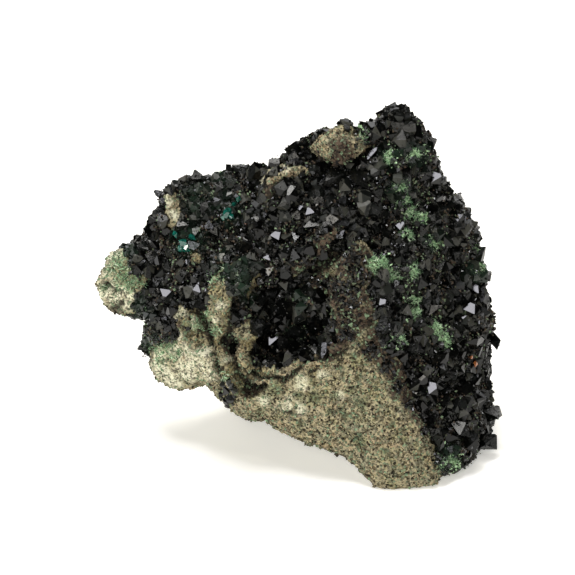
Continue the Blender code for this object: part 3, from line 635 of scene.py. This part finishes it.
# Libethenite crystals: prism and dome faces in a near-octahedral form, some with small pyramid faces
crystals = {
    "axes": (0.9601, 1.0, 0.7019),  # the mineral's axial ratio
    # distance of the prism, dome and pyramid faces from the middle; a far pyramid isn't there
    "habits": (
        (1.0, 1.0, 9.0), (1.0, 0.8, 9.0), (1.0, 1.2, 9.0), (1.0, 1.0, 1.08), (1.0, 0.9, 1.04), (0.85, 1.1, 9.0),
    ),
    "formsOfEach": 7,
    "littleForms": 12,
    "faceSpread": 0.16,  # each face's distance varies by this share, as grown faces do
    "stretch": 0.25,  # and a whole crystal is longer or shorter along one way by up to this share
    # tiers: (least mm, greatest mm, share of a size kept free around it, lift as a share of size, tries)
    "tiers": {
        "large": (1.6, 3.2, 0.42, 0.08, 5000),
        "medium": (0.9, 1.6, 0.50, 0.16, 20000),
        "small": (0.4, 0.95, 0.40, 0.28, 130000),
    },
    # the least crystals, that sit on the faces of the others: (least mm, greatest mm, how many)
    "tiny": (0.22, 0.6, 21000),
    "tinyOn": (0.3, 0.11),  # they need a face of at least this many mm2, and leave the clean bright faces free
    "tinyLift": 0.15,  # share of its size by which one stands out of what it sits on
    "onRidge": 1.6,  # times as large on the brown ridge
    "perRidgePixel": 9,  # how many there for a pixel of a patch's radius
    "sparkling": 0.16,  # share of the small ones that mirror a lamp
    "pocket": (250, 325, 280, 365, 1.15),  # across from and to, down from and to, and times as large in there
    "leftSlope": (250, 0.82),  # left of this they are smaller
}


def crystalForm(habit, chance, spread):
    kinds = (((1, 1, 0), habit[0]), ((0, 1, 1), habit[1]), ((1, 1, 1), habit[2]))
    normals, limits = [], []
    for indices, distance in kinds:
        known = set()
        for signs in np.ndindex(2, 2, 2):
            face = tuple((1 - 2 * sign) * index for sign, index in zip(signs, indices))
            if face in known:
                continue
            known.add(face)
            normal = np.array([index / length for index, length in zip(face, crystals["axes"])])
            normals.append(normal / np.linalg.norm(normal))
            limits.append(distance * (1.0 + chance.uniform(-1, 1) * spread))
    normals, limits = np.array(normals), np.array(limits)
    corners = []
    for i in range(len(limits)):
        for j in range(i):
            for k in range(j):
                three = [i, j, k]
                if abs(np.linalg.det(normals[three])) > 1e-3:
                    corner = np.linalg.solve(normals[three], limits[three])
                    if np.all(normals @ corner < limits + 1e-6):
                        corners.append(corner)
    long = 1.0 + np.array([chance.uniform(-1, 1) for _ in range(3)]) * crystals["stretch"]
    shape = bmesh.new()
    for corner in corners:
        shape.verts.new(corner * long)
    bmesh.ops.remove_doubles(shape, verts=shape.verts, dist=1e-3)
    bmesh.ops.convex_hull(shape, input=shape.verts)
    bmesh.ops.dissolve_limit(shape, angle_limit=math.radians(2), verts=shape.verts, edges=shape.edges)
    shape.verts.index_update()
    points = np.array([vert.co for vert in shape.verts])
    reach = 2.0 * np.linalg.norm(points, axis=1).mean()
    form = {
        "points": points / reach,
        "faces": [[vert.index for vert in face.verts] for face in shape.faces],
        "facets": [np.array(face.normal) for face in shape.faces],
        "centres": [np.array(face.calc_center_median()) / reach for face in shape.faces],
        "areas": [face.calc_area() for face in shape.faces],
    }
    shape.free()
    return form


formChance = random.Random(5)
forms = [
    crystalForm(habit, formChance, crystals["faceSpread"])
    for habit in crystals["habits"] for _ in range(crystals["formsOfEach"])
]
plainForms = [form for form in forms if len(form["faces"]) <= 8]
# small ones are plain octahedra: the dome faces stand where they meet the prism faces in one point
domeShare = math.hypot(1 / crystals["axes"][0], 1) / math.hypot(1 / crystals["axes"][2], 1)
littleForms = [crystalForm((1.0, domeShare, 9.0), formChance, 0.0) for _ in range(crystals["littleForms"])]


def randomTurn(chance):
    return Euler([chance.uniform(0, 2 * math.pi) for _ in range(3)]).to_matrix()


class CrystalHeap:
    # gathers crystals into one mesh, with a tone and a greenness for each

    def __init__(self):
        self.points, self.faces, self.tones, self.greens, self.count = [], [], [], [], 0

    def add(self, form, middle, turn, size, tone, green=0.0, vary=0.35):
        # vary: how much lighter or darker single faces are
        placed = (form["points"] * size * mm) @ np.array(turn).T + np.array(middle)
        self.points.append(placed)
        self.faces.extend([index + self.count for index in face] for face in form["faces"])
        for index in range(len(form["faces"])):
            self.tones.append(min(1.0, max(0.0, tone + vary * math.sin(self.count * 7.1 + index * 2.3))))
        self.greens.extend([green] * len(form["faces"]))
        self.count += len(placed)

    def finish(self, name):
        mesh = bpy.data.meshes.new(name)
        mesh.from_pydata(np.concatenate(self.points).tolist(), [], self.faces)
        paint(mesh, "tone", self.tones, "FACE")
        paint(mesh, "green", self.greens, "FACE")
        return addObject(name, mesh)


class Crowd:
    # remembers what stands where, so that nothing is placed too near

    def __init__(self, cell):
        self.cell, self.cells = cell * mm, {}

    def key(self, point):
        return tuple(int(math.floor(c / self.cell)) for c in point)

    def free(self, point, reach):
        x, y, z = self.key(point)
        for i in (x - 1, x, x + 1):
            for j in (y - 1, y, y + 1):
                for k in (z - 1, z, z + 1):
                    for other, otherReach in self.cells.get((i, j, k), ()):
                        if (point - other).length < reach + otherReach:
                            return False
        return True

    def take(self, point, reach):
        self.cells.setdefault(self.key(point), []).append((point, reach))


def landing(across, down):
    # where the line of sight meets the rock, or for a pixel just outside it, a point between the rock and the line
    search, step = 8.0 * mm, 0.3 * mm  # how deep to look for the rock's edge, and how far off it to land at most
    direction = sightLine(across, down)
    point, normal, _, _ = schistTree.ray_cast(eye, direction)
    if point is None:
        outside = eye + direction * (eyeDistance + search)
        point, normal, _, _ = schistTree.find_nearest(outside)
        outside = eye + direction * (point - eye).dot(direction)
        point = point + (outside - point).normalized() * min(step, (outside - point).length)
    return point, normal


# The crystals that stand out: (across, down, size in mm). Bright ones mirror the key lamp, grey ones the pale room.
leaders = {
    "bright": [
        (430, 175, 3.0), (373, 157, 2.7), (469, 312, 2.8), (427, 388, 2.6), (399, 227, 1.9), (277, 235, 2.5),
        (310, 211, 1.9), (169, 291, 2.3), (200, 289, 1.8), (471, 288, 2.2), (380, 302, 1.7), (298, 207, 1.4),
        (275, 338, 2.2), (268, 258, 1.5), (463, 318, 1.1), (440, 391, 1.1), (284, 199, 1.1), (262, 357, 1.4),
        (288, 148, 1.2), (240, 239, 1.0), (222, 252, 1.3), (500, 301, 1.1), (426, 207, 0.9), (476, 322, 1.1),
    ],
    "grey": [
        (410, 349, 3.0), (347, 129, 1.6), (311, 134, 3.2), (391, 107, 2.8), (403, 106, 2.6), (298, 332, 3.4),
        (265, 299, 2.6), (276, 291, 2.6), (337, 176, 4.0), (359, 178, 3.8), (494, 337, 3.2), (493, 382, 2.6),
        (494, 412, 3.4), (456, 426, 3.6), (462, 434, 4.2), (490, 437, 3.6), (428, 217, 2.0), (455, 224, 2.4),
        (264, 359, 2.0), (185, 176, 3.0), (195, 179, 2.6), (254, 163, 2.4), (241, 166, 2.2), (383, 178, 2.0),
        (342, 202, 2.6), (437, 266, 2.6), (302, 230, 2.4), (221, 186, 2.2), (205, 206, 2.2), (222, 170, 2.8),
        (160, 282, 2.6), (186, 271, 2.0), (470, 185, 2.2), (473, 205, 2.2), (290, 252, 2.4), (446, 146, 2.2),
        (425, 140, 2.6), (312, 226, 2.6), (150, 262, 2.4), (161, 220, 2.2), (255, 328, 2.6), (232, 345, 2.2),
        (452, 250, 2.2), (405, 268, 2.0), (497, 272, 2.4), (478, 228, 2.4), (420, 300, 2.2), (352, 205, 2.0),
    ],
    "dark": [
        (281, 306, 4.2), (263, 331, 3.0), (283, 342, 2.8), (330, 222, 2.6), (205, 305, 2.4), (450, 350, 2.8),
        (440, 400, 2.8), (466, 390, 2.8), (430, 310, 2.6), (385, 235, 2.4), (380, 215, 2.6), (245, 250, 2.6),
        (262, 230, 2.4), (230, 262, 2.2), (170, 308, 2.4), (480, 250, 2.6), (298, 150, 3.0), (320, 200, 2.4),
    ],
}
# what a leading crystal's tone is, and the room it keeps free around it as a share of its size
leaderTones = {"bright": 0.05, "grey": 0.5, "dark": 0.2}
leaderRoom = {"bright": 0.48, "grey": 0.36, "dark": 0.36}
leaderLift = (0.34, 0.12)  # how far its facet stands off the rock and towards the viewer, as shares of its size
# crystals thin enough to let teal light through
tealCrystals = [
    (208, 178, 2.4), (213, 177, 1.6), (239, 200, 1.3), (228, 213, 1.6), (232, 218, 1.2), (176, 234, 1.3),
    (184, 243, 1.8), (189, 248, 1.5), (193, 238, 1.2), (182, 250, 1.2), (224, 218, 1.0), (236, 205, 1.0),
]
# orange brown crystals: partly an iron stain, partly a painted glint, an orange reflection inside the crystal put into
# their colour
stainAndGlintCrystals = [(473, 361, 1.2), (470, 357, 0.8), (475, 366, 0.8), (242, 226, 0.5), (247, 224, 0.5)]
# the few at the lower left edge that stand apart
edgeCluster = [
    (227, 390, 2.2), (224, 384, 1.8), (231, 398, 1.9), (226, 400, 1.5), (234, 390, 1.3), (222, 393, 1.6),
    (229, 382, 1.4), (235, 396, 1.1), (228, 405, 1.2), (231, 386, 1.2), (224, 397, 1.2), (233, 403, 1.0),
]
# small crystals on the brown ridge and along the broken edge: (across, down, radius)
ridgeCrystals = [
    (350, 255, 12), (357, 275, 12), (350, 300, 12), (340, 285, 9), (320, 283, 9), (345, 330, 10), (372, 350, 8),
    (388, 365, 7), (398, 385, 6), (365, 135, 8), (140, 272, 5), (410, 405, 4), (425, 430, 4), (440, 455, 6),
]
lamps = {
    # place and aim in m, size in m, power in W, colour
    "ceiling": ((0.0, 0.15, 0.85), (0, 0, 0.02), (0.32, 0.32), 5.2, "#fffdf8"),
    "key": ((-0.16, -0.22, 0.82), (0, 0, 0.03), (0.22, 0.22), 3.2, "#f8f7ff"),
    "front": ((-0.12, -0.9, 0.42), (0, 0, 0.03), (0.25, 0.25), 3.5, "#fffaf0"),
    # small lamps that make the least crystals sparkle
    "sparkRight": ((0.45, -0.45, 0.50), (0, 0, 0.03), (0.06, 0.06), 0.5, "#ffffff"),
    "sparkLeft": ((-0.55, -0.50, 0.42), (0, 0, 0.03), (0.06, 0.06), 0.5, "#ffffff"),
    "sparkHigh": ((0.12, -0.55, 0.75), (0, 0, 0.03), (0.06, 0.06), 0.5, "#ffffff"),
    "behind": ((0.1, 0.9, 0.42), (0, 0, 0.03), (1.2, 0.6), 3.0, "#ffffff"),
    "leftSide": ((-0.78, -0.3, 0.2), (0, 0, 0.03), (0.6, 0.5), 3.8, "#ffffff"),
}


def facetTowards(kind, point, normal, chance):
    # which way the leading facet of a crystal looks
    towardsEye = (eye - point).normalized()
    if kind == "bright":
        return ((Vector(lamps["key"][0]) - point).normalized() + towardsEye).normalized()
    if kind == "grey":
        room = Vector((chance.uniform(-0.5, 0.5), chance.uniform(-0.1, 0.5), chance.uniform(0.7, 1.0)))
        return (room.normalized() + towardsEye).normalized()
    return (towardsEye + normal * 0.4 + Vector((chance.uniform(-0.2, 0.2), 0, chance.uniform(-0.25, 0.0)))).normalized()


def sizeHere(across, down):
    # crystals are smaller on the left slope and at the left edge, and largest in the pocket
    left, right, top, bottom, larger = crystals["pocket"]
    if left < across < right and top < down < bottom:
        return larger
    edge, smaller = crystals["leftSlope"]
    return smaller if across < edge else 1.0


# where crystals are tinged green: (across, down, radius)
greenCrust = [
    (143, 315, 9), (150, 343, 10), (172, 344, 8), (226, 268, 12), (240, 283, 10), (128, 252, 7), (246, 266, 8),
    (200, 200, 15), (190, 240, 15), (230, 213, 13), (220, 185, 10), (140, 300, 7), (300, 300, 9), (296, 330, 8),
    (446, 455, 12), (400, 190, 12), (390, 158, 10), (416, 156, 10), (475, 270, 12), (430, 240, 10), (250, 300, 8),
]


def growLeaders(heap, crowd, chance):
    for kind, rows in leaders.items():
        for across, down, size in rows:
            point, normal = landing(across, down)
            towards = facetTowards(kind, point, normal, chance)
            form = chance.choice(plainForms)
            best = int(np.argmax(form["areas"]))
            turn = Vector(form["facets"][best]).rotation_difference(towards).to_matrix()
            turn = Matrix.Rotation(chance.uniform(0, 2 * math.pi), 3, towards) @ turn
            facet = point + (normal * leaderLift[0] + (eye - point).normalized() * leaderLift[1]) * size * mm
            middle = facet - turn @ Vector(form["centres"][best]) * size * mm
            heap.add(form, middle, turn, size, leaderTones[kind], vary=0.05)
            crowd.take(facet, size * leaderRoom[kind] * mm)


def sparklingTurn(form, point, chance):
    # any way up, but some crystals have a facet that mirrors a lamp
    if chance.random() > crystals["sparkling"]:
        return randomTurn(chance)
    lamp = Vector(lamps[chance.choice(("key", "sparkRight", "sparkLeft", "sparkHigh"))][0])
    towards = ((lamp - point).normalized() + (eye - point).normalized()).normalized()
    turn = Vector(chance.choice(form["facets"])).rotation_difference(towards).to_matrix()
    return Matrix.Rotation(chance.uniform(0, 2 * math.pi), 3, towards) @ turn


def growTier(heap, crowd, tier, chance):
    least, greatest, room, lift, tries = crystals["tiers"][tier]
    mesh = schistSkin.data
    wanted = (readLayer(mesh, "crust") * (1.0 - 0.97 * readLayer(mesh, "rug"))) ** 2
    points, normals, _ = sampleSites(mesh, wanted, tries, np.random.default_rng(chance.randrange(1 << 30)))
    across, down = pixelsOf(points)
    greens = cloudWeight(greenCrust, across, down, np.zeros(len(across)))
    for point, normal, x, y, green in zip(points, normals, across, down, greens):
        size = (least + (greatest - least) * chance.random() ** 1.6) * sizeHere(x, y)
        form = chance.choice(littleForms if tier == "small" else forms)
        turn = sparklingTurn(form, Vector(point), chance) if tier == "small" else randomTurn(chance)
        tone = chance.random()
        middle = Vector(point) + Vector(normal) * size * lift * mm
        if middle.z < size * 0.6 * mm or not crowd.free(middle, size * room * 0.5 * mm):
            continue
        crowd.take(middle, size * room * 0.5 * mm)
        heap.add(form, middle, turn, size, tone, green * chance.uniform(0.2, 1.0))


def growTiny(meshes, chance):
    # on the outer faces of larger crystals, and sparsely on the brown ridge
    least, greatest, count = crystals["tiny"]
    leastArea, leastTone = crystals["tinyOn"]
    heap = CrystalHeap()
    sites = []
    for mesh in meshes:
        tones = mesh.attributes["tone"].data
        faces = [
            face for face in mesh.polygons
            if face.area > leastArea * mm * mm and tones[face.index].value > leastTone
        ]
        for face in chance.choices(faces, weights=[face.area for face in faces], k=count // len(meshes)):
            corners = [mesh.vertices[index].co for index in face.vertices]
            shares = [-math.log(chance.random() + 1e-9) for _ in corners]
            point = sum((corner * share for corner, share in zip(corners, shares)), Vector()) / sum(shares)
            sites.append((point, face.normal))
    onFacets = len(sites)
    for across, down, radius in ridgeCrystals:
        for _ in range(int(radius * crystals["perRidgePixel"])):
            sites.append(landing(across + chance.gauss(0, radius * 0.6), down + chance.gauss(0, radius * 0.6)))
    for index, (point, normal) in enumerate(sites):
        size = least + (greatest - least) * chance.random() ** 2
        if index >= onFacets:
            size *= crystals["onRidge"]
        if point.z > size * mm:
            form = chance.choice(littleForms)
            middle = point + normal * crystals["tinyLift"] * size * mm
            heap.add(form, middle, sparklingTurn(form, middle, chance), size, chance.random())
    return heap.finish("libethenite_tiny")


def growCrystals():
    chance = random.Random(21)
    heaps = {tier: CrystalHeap() for tier in crystals["tiers"]}
    crowd = Crowd(2.6)
    growLeaders(heaps["large"], crowd, chance)
    for tier, heap in heaps.items():
        growTier(heap, crowd, tier, chance)
    grown = {tier: heap.finish("libethenite_" + tier) for tier, heap in heaps.items()}
    grown["tiny"] = growTiny([grown[tier].data for tier in ("large", "medium")], chance)
    return grown


def growCluster(name, rows, lift, seed):
    # single crystals at given places
    chance = random.Random(seed)
    heap = CrystalHeap()
    for across, down, size in rows:
        point, normal = landing(across, down)
        middle = point + (normal * lift + (eye - point).normalized() * lift) * size * mm
        heap.add(chance.choice(forms), middle, randomTurn(chance), size, chance.random())
    return heap.finish(name)


druse = growCrystals()
tealHeap = growCluster("libethenite_teal", tealCrystals, 0.45, 3)
# orange crystals: iron stain and a painted glint
stainAndGlintHeap = growCluster("libethenite_stain_and_glint", stainAndGlintCrystals, 0.5, 4)
edgeHeap = growCluster("libethenite_edge", edgeCluster, 0.0, 8)
print("crystals grown:", {name: sum(len(p.vertices) - 2 for p in o.data.polygons) for name, o in druse.items()})


# Libethenite, grown in a cavity: glassy and nearly black green, so its faces show little but what they mirror
def makeLibethenite():
    material, tree, shader = newMaterial("grown_libethenite")
    tone = addNode(tree, "ShaderNodeAttribute", {"attribute_name": "tone"}).outputs["Fac"]
    green = addNode(tree, "ShaderNodeAttribute", {"attribute_name": "green"}).outputs["Fac"]
    place = addNode(tree, "ShaderNodeTexCoord").outputs["Object"]
    dustLook = {"Scale": perMm(1.6), "Detail": 5.0, "Roughness": 0.7}
    dust = addNode(tree, "ShaderNodeTexNoise", dustLook, {"Vector": place})
    ramp = addNode(tree, "ShaderNodeValToRGB", {}, {"Fac": tone})
    fillRamp(ramp, ((0.0, "#020202"), (0.5, "#050605"), (0.8, "#0f110f"), (0.95, "#20221e"), (1.0, "#33332d")))
    greener = addNode(tree, "ShaderNodeMix", {"data_type": "RGBA"}, {0: green, 6: ramp.outputs["Color"]})
    greener.inputs[7].default_value = linear("#1f2c22")
    dustCover = {"From Min": 0.55, "From Max": 0.78, "To Max": 0.3}
    dusty = addNode(tree, "ShaderNodeMapRange", dustCover, {"Value": dust.outputs["Fac"]})
    mix = addNode(tree, "ShaderNodeMix", {"data_type": "RGBA"}, {0: dusty.outputs[0], 6: greener.outputs[2]})
    mix.inputs[7].default_value = linear("#3b3830")
    tree.links.new(mix.outputs[2], shader.inputs["Base Color"])
    rough = addNode(tree, "ShaderNodeMapRange", {"To Min": 0.06, "To Max": 0.36}, {"Value": tone})
    tree.links.new(rough.outputs[0], shader.inputs["Roughness"])
    shader.inputs["IOR"].default_value = 1.74
    shader.inputs["Specular IOR Level"].default_value = 0.14  # dust and etching take some of the gloss
    etching = {"Scale": perMm(0.8), "Detail": 6.0, "Roughness": 0.65}
    etched = addNode(tree, "ShaderNodeTexNoise", etching, {"Vector": place}).outputs["Fac"]
    strength = addNode(tree, "ShaderNodeMapRange", {"To Min": 0.15, "To Max": 0.8}, {"Value": tone}).outputs[0]
    bump = addNode(tree, "ShaderNodeBump", {"Distance": 0.15 * mm}, {"Height": etched, "Strength": strength})
    tree.links.new(bump.outputs["Normal"], shader.inputs["Normal"])
    return material


# The same mineral where it is thin: light passes through and takes its colour. The orange brown one is partly iron
# stain and partly a painted glint, a reflection inside the crystal put into its colour
def makeClear(name, deepHex, paleHex):
    material, tree, shader = newMaterial(name)
    place = addNode(tree, "ShaderNodeTexCoord").outputs["Object"]
    veils = addNode(tree, "ShaderNodeTexNoise", {"Scale": perMm(0.7), "Detail": 4.0}, {"Vector": place})
    ramp = addNode(tree, "ShaderNodeValToRGB", {}, {"Fac": veils.outputs["Fac"]})
    fillRamp(ramp, ((0.35, deepHex), (0.7, paleHex)))
    tree.links.new(ramp.outputs["Color"], shader.inputs["Base Color"])
    shader.inputs["Roughness"].default_value = 0.15
    shader.inputs["IOR"].default_value = 1.74
    shader.inputs["Transmission Weight"].default_value = 0.35
    return material


libethenite = makeLibethenite()
for heap in list(druse.values()) + [edgeHeap]:
    heap.data.materials.append(libethenite)
tealHeap.data.materials.append(makeClear("clear_teal_libethenite", "#073a31", "#11705f"))
# orange brown colour: iron stain and a painted glint
stainAndGlintHeap.data.materials.append(makeClear("stained_and_glint_libethenite", "#8a4a22", "#d98a52"))


# Fibrous green tufts: needles a tenth of a millimetre wide and up to one long
tufts = {
    "width": (0.06, 0.12),
    "length": (0.3, 0.9),
    "spread": 0.9,  # how far needles lean apart
    "flattest": 0.1,  # least cosine to the rock's normal
    "perPixelOfRadius": 44,  # needles in a patch, for each pixel of its radius
    "strays": 1.3,  # they reach past a patch's radius by this
    "onMoss": (24, 0.3),  # so many mossy patches have some too, at this share
    "clear": 0.35,  # mm kept free above the level that the specimen stands on
}


def growTufts():
    chance = random.Random(33)
    points, faces, tones = [], [], []
    mossyCount, mossyShare = tufts["onMoss"]
    patches = [(*place, 1.0) for place in zones["greenRug"]]
    patches += [(*place, mossyShare) for place in zones["mossy"][:mossyCount]]
    for across, down, radius, share in patches:
        for _ in range(int(radius * tufts["perPixelOfRadius"] * share)):
            angle = chance.uniform(0, 2 * math.pi)
            far = radius * math.sqrt(chance.random()) * tufts["strays"]
            root, normal = landing(across + far * math.cos(angle), down + far * math.sin(angle))
            lean = Vector([chance.gauss(0, tufts["spread"]) for _ in range(3)])
            grow = (normal + lean).normalized()
            if grow.dot(normal) < tufts["flattest"]:
                continue
            side = grow.orthogonal().normalized()
            wide = chance.uniform(*tufts["width"]) * mm
            tip = root + grow * chance.uniform(*tufts["length"]) * mm
            if min(root.z, tip.z) < tufts["clear"] * mm:
                continue
            base = len(points)
            for turn in (0, 120, 240):
                points.append(root - grow * 0.2 * mm + (Matrix.Rotation(math.radians(turn), 3, grow) @ side) * wide)
            points.append(tip)
            sides = ((0, 2, 1), (0, 1, 3), (1, 2, 3), (2, 0, 3))
            faces += [tuple(base + corner for corner in side) for side in sides]
            tones += [chance.random()] * 4
    mesh = bpy.data.meshes.new("green_tufts")
    mesh.from_pydata(points, [], faces)
    paint(mesh, "tone", tones, "FACE")
    return addObject("green_tufts", mesh)


# Fibrous copper mineral: matt pale green, lighter at some needles
def makeTuftGreen():
    material, tree, shader = newMaterial("fibrous_green_mineral")
    tone = addNode(tree, "ShaderNodeAttribute", {"attribute_name": "tone"}).outputs["Fac"]
    ramp = addNode(tree, "ShaderNodeValToRGB", {}, {"Fac": tone})
    fillRamp(ramp, ((0.0, "#24402a"), (0.5, "#6c9369"), (0.85, "#a8c79c"), (1.0, "#dfead0")))
    tree.links.new(ramp.outputs["Color"], shader.inputs["Base Color"])
    shader.inputs["Roughness"].default_value = 0.6
    return material


greenTufts = growTufts()
greenTufts.data.materials.append(makeTuftGreen())
print("tufts grown:", len(greenTufts.data.polygons))

for piece, slot, nodes in (
    (schistSkin, "schist", ["matrix"]),
    (schistGrains, "schist", []),
    (crustDirt, "schist", []),
    (druse["large"], "libethenite", ["libethenite_druse"]),
    (druse["medium"], "libethenite", []),
    (druse["small"], "libethenite", []),
    (druse["tiny"], "libethenite", []),
    (tealHeap, "libethenite", []),
    (stainAndGlintHeap, "libethenite", []),
    (edgeHeap, "libethenite", ["edge_crystals"]),
    (greenTufts, "libethenite", []),
):
    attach(piece, "root")
    if nodes:
        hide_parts(*nodes)


# Matt white card, faintly lit itself, so that shadows on it stay soft
stage = {"radius": 2.5, "colour": "#f6f5f0", "glow": 0.4}


def makeStage():
    shape = bmesh.new()
    bmesh.ops.create_circle(shape, cap_ends=True, segments=64, radius=stage["radius"])
    mesh = bpy.data.meshes.new("floor")
    shape.to_mesh(mesh)
    shape.free()
    floor = addObject("floor", mesh)
    material, _, shader = newMaterial("matt_white_card")
    shader.inputs["Base Color"].default_value = linear(stage["colour"])
    shader.inputs["Roughness"].default_value = 0.9
    shader.inputs["Emission Color"].default_value = linear(stage["colour"])
    shader.inputs["Emission Strength"].default_value = stage["glow"]
    mesh.materials.append(material)


def makeLights():
    for name, (place, target, size, power, hexColour) in lamps.items():
        light = bpy.data.lights.new(name, "AREA")
        light.shape = "RECTANGLE"
        light.size, light.size_y = size
        light.energy = power
        light.color = linear(hexColour)[:3]
        lamp = addObject(name, light)
        lamp.location = place
        lamp.rotation_mode = "QUATERNION"
        lamp.rotation_quaternion = (Vector(target) - Vector(place)).to_track_quat("-Z", "Y")
        lamp.visible_camera = False
    world = bpy.data.worlds.new("studio")
    bpy.context.scene.world = world
    world.use_nodes = True
    background = world.node_tree.nodes["Background"]
    background.inputs["Color"].default_value = linear("#ffffff")
    background.inputs["Strength"].default_value = 0.03
    bpy.context.scene.view_settings.view_transform = "Standard"


makeStage()
makeLights()
print("stage and lights set")
